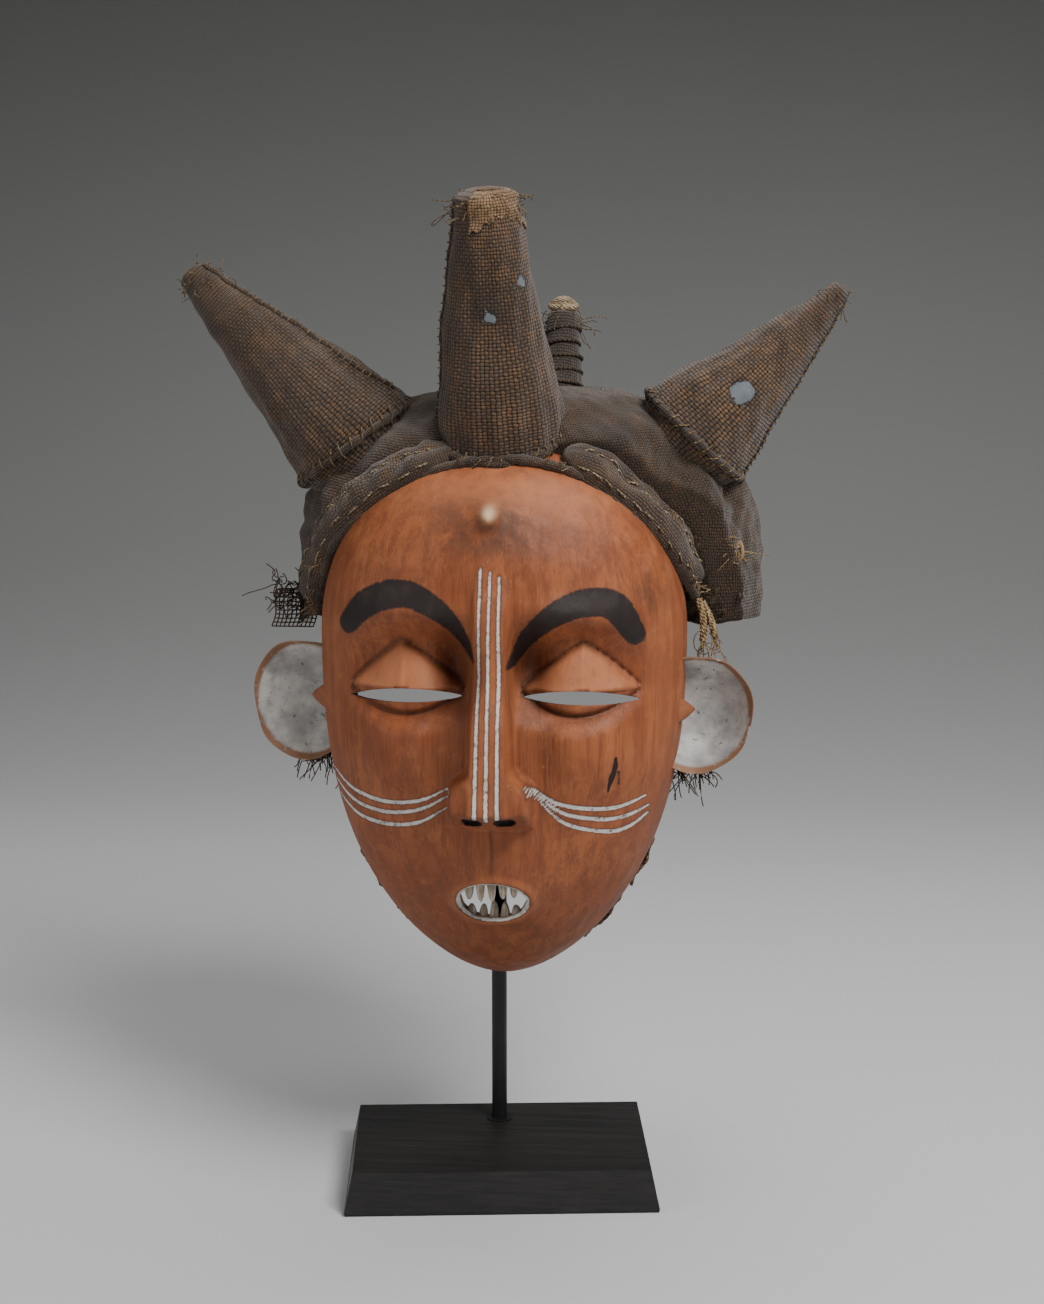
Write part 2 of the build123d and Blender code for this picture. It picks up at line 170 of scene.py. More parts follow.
def new_mesh(name, points, faces, materials, uv=None, face_slots=None):
    """A closed mesh from points in millimetres: coincident points are joined, normals point out."""
    mesh = bpy.data.meshes.new(name)
    mesh.from_pydata((points * MM).tolist(), [], faces.tolist())
    if uv is not None:
        corner = np.empty(len(mesh.loops), np.int32)
        mesh.loops.foreach_get("vertex_index", corner)
        layer = mesh.uv_layers.new(name="cloth")
        layer.data.foreach_set("uv", uv[corner].astype(np.float32).ravel())
    for material in materials:
        mesh.materials.append(material)
    if face_slots is not None:
        mesh.polygons.foreach_set("material_index", face_slots.astype(np.int32))
    work = bmesh.new()
    work.from_mesh(mesh)
    bmesh.ops.remove_doubles(work, verts=work.verts, dist=2e-6)
    bmesh.ops.dissolve_degenerate(work, edges=work.edges, dist=1e-7)
    bmesh.ops.recalc_face_normals(work, faces=work.faces)
    work.to_mesh(mesh)
    work.free()
    mesh.polygons.foreach_set("use_smooth", np.ones(len(mesh.polygons), bool))
    mesh.update()
    made = bpy.data.objects.new(name, mesh)
    bpy.context.scene.collection.objects.link(made)
    return made


def grid_mesh(name, points, materials, uv=None):
    """A mesh from a rows x cols x 3 array of points."""
    rows, cols = points.shape[:2]
    flat_uv = None if uv is None else uv.reshape(-1, 2)
    return new_mesh(name, points.reshape(-1, 3), grid_faces(rows, cols), materials, flat_uv)


def across(direction):
    """Two unit directions square to each of many directions, with the first as level as it can be."""
    up = np.zeros_like(direction)
    steep = np.abs(direction[..., 2:3]) > 0.97
    up[..., 2] = 1.0
    up = np.where(steep, np.broadcast_to([0.0, 1.0, 0.0], up.shape), up)
    first = np.cross(direction, up)
    first /= np.linalg.norm(first, axis=-1, keepdims=True)
    return first, np.cross(first, direction)


def tube_points(paths, radius, sides=8):
    """Round tubes along m paths of n points: rings square to each path, closed at both ends."""
    paths = np.asarray(paths, float)
    if paths.ndim == 2:
        paths = paths[None]
    tangent = np.gradient(paths, axis=1)
    tangent /= np.linalg.norm(tangent, axis=-1, keepdims=True) + 1e-12
    first, second = across(tangent)
    turn = np.linspace(0, 2 * pi, sides + 1)
    radius = np.broadcast_to(np.asarray(radius, float), paths.shape[:2])
    ring = first[:, :, None] * np.cos(turn)[:, None] + second[:, :, None] * np.sin(turn)[:, None]
    rings = paths[:, :, None] + ring * radius[:, :, None, None]
    start = np.repeat(paths[:, :1, None], sides + 1, axis=2)
    end = np.repeat(paths[:, -1:, None], sides + 1, axis=2)
    return np.concatenate([start, rings, end], axis=1)


def tubes(name, paths, radius, material, sides=8):
    """Tubes along several paths as one mesh, with lengthwise and round positions in their UV map."""
    points = tube_points(paths, radius, sides)
    m, n, k = points.shape[:3]
    faces = (np.arange(m)[:, None, None] * n * k + grid_faces(n, k)[None]).reshape(-1, 4)
    steps = np.linalg.norm(np.diff(points.mean(axis=2), axis=1), axis=-1)
    along = np.concatenate([np.zeros((m, 1)), np.cumsum(steps, axis=1)], axis=1)
    mean_radius = float(np.mean(radius))
    round_ = np.linspace(0, 2 * pi * mean_radius, k)
    uv = np.stack(np.broadcast_arrays(round_[None, None, :], along[:, :, None]), -1)
    return new_mesh(name, points.reshape(-1, 3), faces, [material], uv.reshape(-1, 2))


def set_field(piece, name, values):
    """Stores one number per point as an attribute for the materials."""
    field = piece.data.attributes.new(name, "FLOAT", "POINT")
    field.data.foreach_set("value", np.asarray(values, np.float32))


def points_of(piece):
    """The piece's points in millimetres."""
    flat = np.empty(len(piece.data.vertices) * 3, np.float32)
    piece.data.vertices.foreach_get("co", flat)
    return flat.reshape(-1, 3).astype(float) / MM


def finish_piece(piece, replaced=(), body="mask"):
    """Puts a piece on its body and hides the plain solids that it stands for."""
    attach(piece, body)
    if replaced:
        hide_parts(*replaced)
    return piece


# ---------------------------------------------------------------- material graphs
class Graph:
    """A short way to write a material's nodes; every call returns an output socket."""

    def __init__(self, name):
        self.material = bpy.data.materials.new(name)
        self.material.use_nodes = True
        self.tree = self.material.node_tree
        self.shader = self.tree.nodes["Principled BSDF"]

    def wire(self, socket, value):
        if isinstance(value, bpy.types.NodeSocket):
            self.tree.links.new(value, socket)
        elif value is not None:
            socket.default_value = value

    def place(self):
        return self.tree.nodes.new("ShaderNodeTexCoord").outputs["Object"]

    def uv(self):
        node = self.tree.nodes.new("ShaderNodeUVMap")
        node.uv_map = "cloth"
        return node.outputs["UV"]

    def field(self, name):
        node = self.tree.nodes.new("ShaderNodeAttribute")
        node.attribute_name = name
        return node.outputs["Fac"]

    def stretched(self, vector, scale):
        node = self.tree.nodes.new("ShaderNodeMapping")
        self.wire(node.inputs["Vector"], vector)
        node.inputs["Scale"].default_value = scale
        return node.outputs["Vector"]

    def noise(self, vector, scale, detail=4.0, roughness=0.55, distortion=0.0):
        node = self.tree.nodes.new("ShaderNodeTexNoise")
        self.wire(node.inputs["Vector"], vector)
        node.inputs["Scale"].default_value = scale
        node.inputs["Detail"].default_value = detail
        node.inputs["Roughness"].default_value = roughness
        node.inputs["Distortion"].default_value = distortion
        return node.outputs["Fac"]

    def cells(self, vector, scale, feature="F1"):
        node = self.tree.nodes.new("ShaderNodeTexVoronoi")
        node.feature = feature
        self.wire(node.inputs["Vector"], vector)
        node.inputs["Scale"].default_value = scale
        return node.outputs["Distance"]

    def math(self, operation, a, b=None, c=None):
        node = self.tree.nodes.new("ShaderNodeMath")
        node.operation = operation
        for socket, value in zip(node.inputs, (a, b, c)):
            self.wire(socket, value)
        return node.outputs[0]

    def step(self, value, low, high, out_low=0.0, out_high=1.0):
        """A smooth step of value from low to high."""
        node = self.tree.nodes.new("ShaderNodeMapRange")
        node.interpolation_type = "SMOOTHSTEP"
        self.wire(node.inputs["Value"], value)
        node.inputs["From Min"].default_value = low
        node.inputs["From Max"].default_value = high
        node.inputs["To Min"].default_value = out_low
        node.inputs["To Max"].default_value = out_high
        return node.outputs["Result"]

    def mix(self, factor, a, b):
        node = self.tree.nodes.new("ShaderNodeMix")
        node.data_type = "RGBA"
        self.wire(node.inputs["Factor"], factor)
        for socket, value in ((node.inputs[6], a), (node.inputs[7], b)):
            self.wire(socket, (*value, 1.0) if isinstance(value, tuple) else value)
        return node.outputs[2]

    def part(self, vector, axis):
        node = self.tree.nodes.new("ShaderNodeSeparateXYZ")
        self.wire(node.inputs[0], vector)
        return node.outputs[axis]

    def bump(self, height, distance, strength=1.0, normal=None):
        node = self.tree.nodes.new("ShaderNodeBump")
        self.wire(node.inputs["Height"], height)
        node.inputs["Distance"].default_value = distance
        node.inputs["Strength"].default_value = strength
        self.wire(node.inputs["Normal"], normal)
        return node.outputs["Normal"]

    def done(self, colour, roughness, normal=None, **others):
        self.wire(self.shader.inputs["Base Color"], (*colour, 1.0) if isinstance(colour, tuple) else colour)
        self.wire(self.shader.inputs["Roughness"], roughness)
        self.wire(self.shader.inputs["Normal"], normal)
        for name, value in others.items():
            self.wire(self.shader.inputs[name.replace("_", " ")], value)
        return self.material


def wood_grain(g):
    """Vertical fibres: noise stretched along Z, fine over coarse."""
    place = g.place()
    coarse = g.noise(g.stretched(place, (160, 160, 9)), 1.0, 5, 0.6, 0.4)
    fine = g.noise(g.stretched(place, (900, 900, 40)), 1.0, 4, 0.6)
    return g.math("ADD", g.math("MULTIPLY", coarse, 0.6), g.math("MULTIPLY", fine, 0.4))


def painted_wood():
    """Ochre-red rubbed wood with painted brows, white cut lines, soot, wear and a crack, with painted
    highlights on its raised parts and painted shade in its hollows, creases and nostrils.
    """
    g = Graph("painted_wood")
    place = g.place()
    grain = wood_grain(g)
    cloud = g.noise(place, 22, 5, 0.6)
    blotch = g.noise(place, 75, 6, 0.65, 0.3)
    colour = g.mix(g.step(cloud, 0.32, 0.68), (0.285, 0.075, 0.024), (0.41, 0.125, 0.042))
    colour = g.mix(g.math("MULTIPLY", g.step(grain, 0.40, 0.60), 0.65), colour, (0.175, 0.048, 0.018))
    colour = g.mix(g.math("MULTIPLY", g.step(blotch, 0.52, 0.75), 0.5), colour, (0.50, 0.19, 0.075))
    # Painted highlights on the raised parts, with the worn lip round the mouth, from the light field.
    light = g.math("MULTIPLY", g.field("light"), g.step(blotch, 0.15, 0.55))
    colour = g.mix(g.math("MULTIPLY", light, 0.75), colour, (0.56, 0.20, 0.085))
    # Painted shade in the face's creases and hollows, from the dark field.
    dark = g.math("MULTIPLY", g.field("dark"), g.step(cloud, 0.1, 0.6))
    colour = g.mix(g.math("MULTIPLY", dark, 0.8), colour, (0.085, 0.030, 0.014))
    # Near-black soot on the forehead, with painted shade at the eyes' inner corners and under the nose.
    soot_and_shade = g.math("MULTIPLY", g.field("soot_and_shade"), g.step(blotch, 0.25, 0.65))
    colour = g.mix(g.math("MULTIPLY", soot_and_shade, 0.75), colour, (0.035, 0.018, 0.012))
    scratches = g.noise(g.stretched(place, (700, 700, 160)), 1.0, 2, 0.5, 1.5)
    colour = g.mix(g.math("MULTIPLY", g.step(scratches, 0.70, 0.76), 0.35), colour, (0.62, 0.33, 0.17))

    ragged = g.math("SUBTRACT", g.noise(place, 420, 4, 0.7), 0.5)
    brow_edge = g.math("ADD", g.field("brow"), g.math("MULTIPLY", ragged, 2.6))
    brow = g.step(brow_edge, 0.9, -0.5)
    brow_colour = g.mix(g.step(blotch, 0.45, 0.75), (0.011, 0.010, 0.010), (0.030, 0.024, 0.020))
    colour = g.mix(g.math("MULTIPLY", brow, 0.96), colour, brow_colour)

    worn = g.noise(place, 240, 5, 0.7)
    line_edge = g.math("ADD", g.field("line"), g.math("MULTIPLY", ragged, 1.5))
    line = g.step(line_edge, 0.30, -0.25)
    chalk = g.math("MULTIPLY", line, g.step(worn, 0.30, 0.46))
    # Painted shade: the wood darkens along the edges of the cut lines' grooves.
    groove_rim = g.math("MULTIPLY", g.step(line_edge, 1.3, 0.2), 0.55)
    colour = g.mix(groove_rim, colour, (0.10, 0.035, 0.018))
    colour = g.mix(chalk, colour, g.mix(worn, (0.50, 0.47, 0.42), (0.84, 0.82, 0.78)))

    tip = g.math("MULTIPLY", g.field("tip"), g.step(blotch, 0.2, 0.5))
    colour = g.mix(tip, colour, (0.66, 0.46, 0.28))
    # Near-black crack on the right cheek, with painted shade in the nostrils.
    crack_and_nostril_shade = g.step(g.math("ADD", g.field("crack_and_nostril_shade"), g.math("MULTIPLY", ragged, 1.2)), 0.25, -0.25)
    colour = g.mix(crack_and_nostril_shade, colour, (0.012, 0.007, 0.005))

    height = g.math("MULTIPLY", grain, 0.5)
    height = g.math("ADD", height, g.math("MULTIPLY", g.noise(place, 45, 3, 0.5, 0.6), 0.8))
    cuts = g.cells(g.stretched(place, (1, 1, 0.35)), 130, "SMOOTH_F1")
    height = g.math("ADD", height, g.math("MULTIPLY", cuts, 0.5))
    height = g.math("SUBTRACT", height, g.math("MULTIPLY", line, 0.9))
    height = g.math("ADD", height, g.math("MULTIPLY", chalk, g.math("MULTIPLY", worn, 0.5)))
    height = g.math("SUBTRACT", height, g.math("MULTIPLY", crack_and_nostril_shade, 1.6))
    normal = g.bump(height, 0.0012, 0.85)
    rough = g.mix(brow, g.step(blotch, 0.2, 0.8, 0.50, 0.70), (0.62, 0.62, 0.62))
    rough = g.mix(chalk, rough, (0.9, 0.9, 0.9))
    return g.done(colour, rough, normal, Specular_IOR_Level=0.38)


def bare_wood(name, low, high, shine=0.72):
    """Unpainted wood cut with a knife: long fibres and facets."""
    g = Graph(name)
    grain = wood_grain(g)
    place = g.place()
    colour = g.mix(g.step(grain, 0.36, 0.64), low, high)
    stain = g.math("MULTIPLY", g.step(g.noise(place, 60, 5), 0.5, 0.8), 0.6)
    colour = g.mix(stain, colour, tuple(0.35 * c for c in low))
    facets = g.cells(g.stretched(place, (1, 1, 0.4)), 90, "SMOOTH_F1")
    return g.done(colour, shine, g.bump(g.math("ADD", grain, facets), 0.0012, 0.6))


def chalk_paint(name, light, dark, pit_scale=260.0):
    """A brittle white coat: pitted, flaked to wood in small spots, grey with dust."""
    g = Graph(name)
    place = g.place()
    cloud = g.noise(place, 40, 5, 0.6)
    pits = g.noise(place, pit_scale, 5, 0.7, 0.5)
    colour = g.mix(g.step(cloud, 0.35, 0.68), dark, light)
    flaked = g.step(pits, 0.62, 0.68)
    colour = g.mix(g.math("MULTIPLY", flaked, 0.85), colour, (0.14, 0.10, 0.08))
    smudge = g.step(g.noise(g.stretched(place, (1, 1, 2.5)), 120, 6, 0.7), 0.56, 0.72)
    colour = g.mix(g.math("MULTIPLY", smudge, 0.5), colour, (0.22, 0.21, 0.21))
    rim = g.math("MULTIPLY", g.field("rim"), g.step(g.noise(place, 180, 4, 0.7), 0.25, 0.5))
    colour = g.mix(rim, colour, g.mix(cloud, (0.17, 0.075, 0.035), (0.36, 0.20, 0.11)))
    height = g.math("SUBTRACT", g.math("MULTIPLY", pits, 0.6), flaked)
    return g.done(colour, g.step(cloud, 0.2, 0.8, 0.45, 0.7), g.bump(height, 0.0007, 0.8), Metallic=0.12)


def tooth_enamel():
    g = Graph("tooth_bone")
    place = g.place()
    streak = g.noise(g.stretched(place, (500, 500, 90)), 1.0, 5, 0.6)
    colour = g.mix(g.step(streak, 0.35, 0.65), (0.26, 0.19, 0.13), (0.50, 0.43, 0.35))
    stain = g.step(g.noise(place, 210, 5, 0.7), 0.52, 0.7)
    colour = g.mix(g.math("MULTIPLY", stain, 0.7), colour, (0.16, 0.10, 0.065))
    return g.done(colour, 0.5, g.bump(streak, 0.0006, 0.5))


def woven(name, thread, worn, gap, pitch, amount=0.5):
    """Plain weave on the cloth's own map, in millimetres: crossing threads, rust wear and holes."""
    g = Graph(name)
    uv, place = g.uv(), g.place()
    drift = g.math("MULTIPLY", g.math("SUBTRACT", g.noise(uv, 0.25, 3), 0.5), 1.6)
    u = g.math("ADD", g.part(uv, 0), drift)
    v = g.math("SUBTRACT", g.part(uv, 1), drift)
    warp = g.math("SINE", g.math("MULTIPLY", u, pi / pitch))
    weft = g.math("SINE", g.math("MULTIPLY", v, pi / pitch))
    crossing = g.math("MULTIPLY", warp, weft)
    knuckle = g.math("POWER", g.math("ABSOLUTE", crossing), 0.55)
    over = g.step(crossing, -0.25, 0.25)
    fleck = g.noise(uv, 1.4 / pitch, 3, 0.7)
    cloud = g.noise(place, 30, 5, 0.62, 0.3)
    patch = g.noise(place, 85, 6, 0.68, 0.2)
    colour = g.mix(g.step(cloud, 0.3, 0.7), thread, tuple(1.7 * c for c in thread))
    rust = g.math("MULTIPLY", g.step(patch, 0.46, 0.66), g.step(fleck, 0.30, 0.62))
    rust = g.math("MULTIPLY", rust, g.step(knuckle, 0.25, 0.9, 0.25, 1.0))
    colour = g.mix(g.math("MULTIPLY", rust, amount), colour, worn)
    colour = g.mix(g.math("MULTIPLY", over, 0.30), colour, worn)
    colour = g.mix(g.step(knuckle, 0.70, 0.15), colour, gap)
    soiled = g.step(g.noise(place, 12, 4, 0.6), 0.52, 0.72)
    colour = g.mix(g.math("MULTIPLY", soiled, 0.45), colour, (0.022, 0.020, 0.020))
    ragged = g.math("SUBTRACT", g.noise(place, 190, 5, 0.75), 0.5)
    edge = g.math("ADD", g.field("hole"), g.math("MULTIPLY", ragged, 13.0))
    torn = g.step(edge, 0.3, -0.3)
    frayed = g.step(edge, 2.6, 0.4)
    colour = g.mix(g.math("MULTIPLY", frayed, 0.6), colour, gap)
    core = g.mix(g.noise(place, 150, 4), (0.10, 0.115, 0.125), (0.20, 0.22, 0.235))
    colour = g.mix(torn, colour, core)
    height = g.math("ADD", g.math("MULTIPLY", knuckle, 0.8), g.math("MULTIPLY", fleck, 0.35))
    height = g.math("MULTIPLY", height, g.math("SUBTRACT", 1.0, torn))
    height = g.math("SUBTRACT", height, g.math("MULTIPLY", torn, 2.0))
    normal = g.bump(g.noise(place, 60, 4, 0.6), 0.0022, 0.6)
    normal = g.bump(height, 0.0007, 0.9, normal)
    return g.done(colour, 0.93, normal, Specular_IOR_Level=0.12, Sheen_Weight=0.25)


def fibre(name, dark, light, twist=2.2):
    """Twisted plant fibre: slanting strands on the tube's map, with darker and paler lengths."""
    g = Graph(name)
    uv, place = g.uv(), g.place()
    along = g.math("MULTIPLY", g.part(uv, 1), twist)
    slant = g.math("ADD", along, g.math("MULTIPLY", g.part(uv, 0), 1.9 * twist))
    strand = g.math("SINE", slant)
    cloud = g.noise(place, 170, 5, 0.7)
    colour = g.mix(g.step(cloud, 0.3, 0.7), dark, light)
    colour = g.mix(g.step(strand, 0.1, -0.9, 0.0, 0.6), colour, tuple(0.3 * c for c in dark))
    return g.done(colour, 0.85, g.bump(g.math("ADD", strand, cloud), 0.0004, 0.7), Specular_IOR_Level=0.2)


def bark_skin():
    g = Graph("bark")
    place = g.place()
    ridges = g.noise(g.stretched(place, (260, 260, 60)), 1.0, 6, 0.7, 0.8)
    colour = g.mix(g.step(ridges, 0.35, 0.65), (0.035, 0.020, 0.013), (0.20, 0.12, 0.065))
    return g.done(colour, 0.8, g.bump(ridges, 0.0012, 0.9))


def stand_metal():
    g = Graph("stand_black_metal")
    place = g.place()
    drawn = g.noise(g.stretched(place, (1200, 1200, 60)), 1.0, 4, 0.6)
    cloud = g.noise(place, 80, 4)
    colour = g.mix(cloud, (0.010, 0.010, 0.010), (0.022, 0.021, 0.020))
    return g.done(colour, g.step(cloud, 0.2, 0.8, 0.36, 0.5), g.bump(drawn, 0.0002, 0.4), Metallic=0.35)


def stand_wood():
    """Black-stained block: open grain runs along its length, dust lies in the pores."""
    g = Graph("stand_black_wood")
    place = g.place()
    grain = g.noise(g.stretched(place, (14, 330, 420)), 1.0, 6, 0.65, 0.2)
    cloud = g.noise(place, 25, 5)
    colour = g.mix(g.step(grain, 0.35, 0.7), (0.0075, 0.007, 0.007), (0.022, 0.019, 0.018))
    colour = g.mix(g.math("MULTIPLY", cloud, 0.3), colour, (0.03, 0.027, 0.026))
    return g.done(colour, g.step(cloud, 0.2, 0.8, 0.38, 0.54), g.bump(grain, 0.00035, 0.5))


def brushed(name, colour, metallic=1.0, rough=0.32):
    g = Graph(name)
    place = g.place()
    marks = g.noise(g.stretched(place, (600, 600, 2200)), 1.0, 3, 0.6)
    tint = g.mix(g.noise(place, 140, 4), tuple(0.6 * c for c in colour), colour)
    worn = g.step(marks, 0.2, 0.8, rough, rough + 0.2)
    return g.done(tint, worn, g.bump(marks, 0.0001, 0.3), Metallic=metallic)


def felted(name, dark, light):
    g = Graph(name)
    place = g.place()
    fuzz = g.noise(place, 1500, 5, 0.8)
    colour = g.mix(g.step(fuzz, 0.3, 0.7), dark, light)
    return g.done(colour, 0.98, g.bump(fuzz, 0.0006, 0.8), Sheen_Weight=0.4)


# ---------------------------------------------------------------- the carving
def bowl(rise, share, inset=0.0):
    """Points of the egg-shaped half dome: rise runs from -pi/2 at the chin to pi/2 at the crown,
    and share from -1 to 1 across its width. The skin is moved in by inset."""
    t = np.abs(np.sin(rise))
    upper = rise > 0
    z = FACE_MID_Z + np.where(upper, FACE_UP - inset, inset - FACE_DOWN) * t
    wide = (FACE_W - inset) * np.where(upper, (1 - t**2) ** 0.5, (1 - t**2.6) ** 0.62)
    deep = (FACE_D - inset) * np.where(upper, (1 - t**2.4) ** 0.55, (1 - t**2.8) ** 0.60)
    return wide * share, RIM_Y - deep * (1 - np.abs(share) ** 2.3) ** (1 / 2.2), z + 0 * share


def socket_height(x, z, depth):
    """Broad relief of the face: sunken eye sockets, cheeks, muzzle and forehead."""
    s = np.abs(x)
    e = np.hypot((s - 46) / 46, (z - 331) / 33)
    h = -depth * smooth(e, 1.12, 0.45)
    h = h - 0.95 * depth * hill(s, z, 20, 336, 12, 24)
    h = h + 3.5 * hill(s, z, 44, 366, 34, 9) - 3.0 * hill(s, z, 84, 318, 12, 22)
    h = h + 5.0 * hill(s, z, 58, 283, 30, 26) - 4.5 * hill(s, z, 28, 288, 14, 26)
    h = h + 7.0 * hill(x, z, 0, 212, 26, 34) - 3.0 * hill(s, z, 52, 205, 22, 34)
    return h + 5.0 * hill(x, z, 0, 408, 62, 34) + 2.0 * hill(x, z, 0, 150, 22, 18)


def lid_shapes(x, z):
    """Where a point lies in the upper and the lower lid: 0 at the eye's slit, 1 at the lid's outline."""
    s = np.abs(x)
    peak = 52.0
    q = np.where(s < peak, (peak - s) / (peak - EYE_IN), (s - peak) / (EYE_OUT - peak))
    bow = np.clip(1 - q**2, 0, 1)
    slit_z = EYE_Z + 1.0 * bow
    top = slit_z + 27.0 * np.clip(1 - q**1.12, 1e-3, 1)
    low = slit_z - 15.0 * np.clip(1 - np.abs((s - EYE_X) / 35.0) ** 1.9, 1e-3, 1)
    upper = np.where(q < 1, (z - slit_z) / (top - slit_z), 9.0)
    lower = np.where(q < 1, (slit_z - z) / (slit_z - low), 9.0)
    return upper, lower, bow, top, low


def lid_creases(z, bow, top, low, upper_width, lower_width):
    """Strength of the creases along the outlines of the upper and the lower lid."""
    above = np.exp(-(((z - top) / upper_width) ** 2))
    below = np.exp(-(((z - low) / lower_width) ** 2))
    return above * (bow > 0.02) + below * (bow > 0.02)


def lid_height(x, z, lift):
    """Upper lids like tents with a soft ridge, over bulging lower lids, each with a crease round it."""
    upper, lower, bow, top, low = lid_shapes(x, z)
    s = np.abs(x)
    tent = np.clip(1 - upper, 0, 1) ** 0.62 * (upper >= 0) * (upper < 1)
    h = lift * bow**0.45 * tent + 1.3 * np.exp(-np.abs(s - 52) / 2.5) * tent
    pillow = np.sqrt(np.clip(1 - lower**2, 0, 1)) * (lower >= 0) * (lower < 1)
    h = h + 0.72 * lift * bow**0.5 * pillow
    return h - 1.6 * lid_creases(z, bow, top, low, 1.6, 1.8)


def nostril_reach(x, z):
    """How far a point lies from the nearer nostril's middle: 1 at the nostril's edge."""
    return np.hypot((np.abs(x - NOSE_X) - 9.3) / 6.4, (z - 250.5) / 4.2)


def nose_height(x, z, tip):
    """A long slab from the forehead to two rounded wings, cut off below, with two nostrils."""
    down = np.clip((NOSE_TOP - z) / (NOSE_TOP - NOSE_TIP), 0, 1.1)
    rise = 6 * smooth(down, 0, 0.30) + (tip - 3) * down**1.3
    half = 8.5 + 2.5 * down + 11.5 * smooth(z, 280, 266)
    side = smooth(np.abs(x - NOSE_X), half + 3.4, half - 1.4)
    wing_dip = 4.5 * smooth(z, 284, 266) * smooth(np.abs(x - NOSE_X), 9.0, 16.0)
    wing_dip = wing_dip - 1.5 * hill(np.abs(x), z, 18, 262, 6, 8)
    below = np.clip((z - NOSE_FOOT + 3) / (NOSE_TIP - NOSE_FOOT + 1), 0, 1)
    h = (rise - wing_dip) * side * below**0.8 * (z < NOSE_TOP + 6)
    nostril = nostril_reach(x, z)
    return h - 8.0 * smooth(nostril, 1.15, 0.60)


def boss_height(x, z):
    """The forehead's boss: a steep round tip, 10 mm high, on a low wide swell."""
    r = np.hypot(x + 1.5, z - 421)
    return 10.0 * np.exp(-((r / 5.6) ** 2.0)) + 2.5 * np.exp(-((r / 13.0) ** 2))


def mouth_height(x, z):
    """A raised lip round the mouth, bevelled towards the opening."""
    r = np.hypot((x - MOUTH_X) / MOUTH_A, (z - MOUTH_Z) / MOUTH_B)
    return 2.2 * np.exp(-(((r - 1.22) / 0.17) ** 2)) - 3.0 * smooth(r, 1.14, 0.9)


def face_height(x, z, settings):
    h = socket_height(x, z, settings.socket_depth) + lid_height(x, z, settings.lid_height)
    return h + nose_height(x, z, settings.nose_height) + boss_height(x, z) + mouth_height(x, z)


def front_y(x, z, settings):
    """The carved surface's Y at a place on the front, in millimetres."""
    t = np.where(z > FACE_MID_Z, (z - FACE_MID_Z) / FACE_UP, (FACE_MID_Z - z) / FACE_DOWN)
    rise = np.where(z > FACE_MID_Z, 1, -1) * np.arcsin(np.clip(t, 0, 1))
    wide = bowl(rise, np.ones_like(rise))[0]
    share = np.clip(x / np.maximum(wide, 1e-6), -1, 1)
    return bowl(rise, share)[1] - face_height(x, z, settings) * (1 - np.abs(share) ** 8)


def face_points(settings):
    """Outer surface, rim, inner surface and rim as one closed ring of columns for each level."""
    q = np.linspace(1, 0, settings.rows)
    lower = -pi / 2 * (0.75 * q + 0.25 * q**3)
    q = np.linspace(0, 1, settings.rows * 5 // 12)[1:]
    upper = pi / 2 * (0.8 * q + 0.2 * q**3)
    rise = np.concatenate([lower, upper])[:, None]
    t = np.linspace(-1, 1, settings.columns)[None, :]
    share = np.sin(pi / 2 * (t - 0.10 * np.sin(pi * t)))
    x, y, z = bowl(rise, share)
    fade = 1 - np.abs(share) ** 8
    rough = waves(np.stack([x, y, z * 0.5], -1), 26, 5) * 0.28
    y = y - (face_height(x, z, settings) + rough) * fade
    outer = np.stack([x, y, z], -1)

    t = np.linspace(1, -1, settings.columns // 4)[None, :]
    share = np.sin(pi / 2 * t)
    x, y, z = bowl(rise, share, settings.wall)
    broad = socket_height(x, z, settings.socket_depth) + 0.95 * lid_height(x, z, settings.lid_height)
    y = np.minimum(y - broad * (1 - share**8), RIM_Y + 0.0)
    inner = np.stack([x, y, z], -1)

    bend = np.linspace(0, 1, 5)[1:-1, None]
    lip = np.array([0.0, 1.0, 0.0]) * np.sin(pi * bend)
    right = outer[:, -1:, :] * (1 - bend) + inner[:, :1, :] * bend + lip
    left = inner[:, -1:, :] * (1 - bend) + outer[:, :1, :] * bend + lip
    ring = np.concatenate([outer, right, inner, left, outer[:, :1]], axis=1)
    return ring, settings.columns


def lens_cutter(sign):
    """A long lens-shaped bar through one eye, sloping down to the back by 0.2 mm per mm."""
    x = np.linspace(EYE_IN + 2.0, EYE_OUT - 1.0, 60)
    q = (x - x.mean()) / (x[-1] - x[0]) * 2
    bow = np.clip(1 - q**2, 0, 1)
    roof = EYE_Z + 1.0 + 3.6 * bow**0.8
    floor = EYE_Z + 1.0 - 4.4 * bow**0.8
    ring_x = np.concatenate([x, x[::-1][1:]])
    ring_z = np.concatenate([roof, floor[::-1][1:]])
    depth = np.array([-150.0, -150.0, -30.0, -30.0])
    grow = np.array([0.0, 1.0, 1.0, 0.0])
    points = np.empty((4, len(ring_x), 3))
    points[..., 0] = sign * np.where(grow[:, None] > 0, ring_x, x.mean())
    points[..., 1] = depth[:, None]
    points[..., 2] = np.where(grow[:, None] > 0, ring_z, EYE_Z + 1) - 0.2 * (depth[:, None] + 105)
    return grid_mesh("eye_cutter", points, [])


def mouth_cutter():
    turn = np.linspace(0, 2 * pi, 73)
    out = np.array([0.0, 1.0, 1.0, 0.0])[:, None]
    rough = 1 + 0.02 * np.sin(5 * turn) + 0.015 * np.sin(9 * turn + 1)
    points = np.stack(
        [
            MOUTH_X + out * MOUTH_A * rough * np.cos(turn),
            np.broadcast_to(np.array([-130.0, -130.0, -30.0, -30.0])[:, None], (4, 73)),
            MOUTH_Z + out * MOUTH_B * rough * np.sin(turn),
        ],
        -1,
    )
    return grid_mesh("mouth_cutter", points, [])


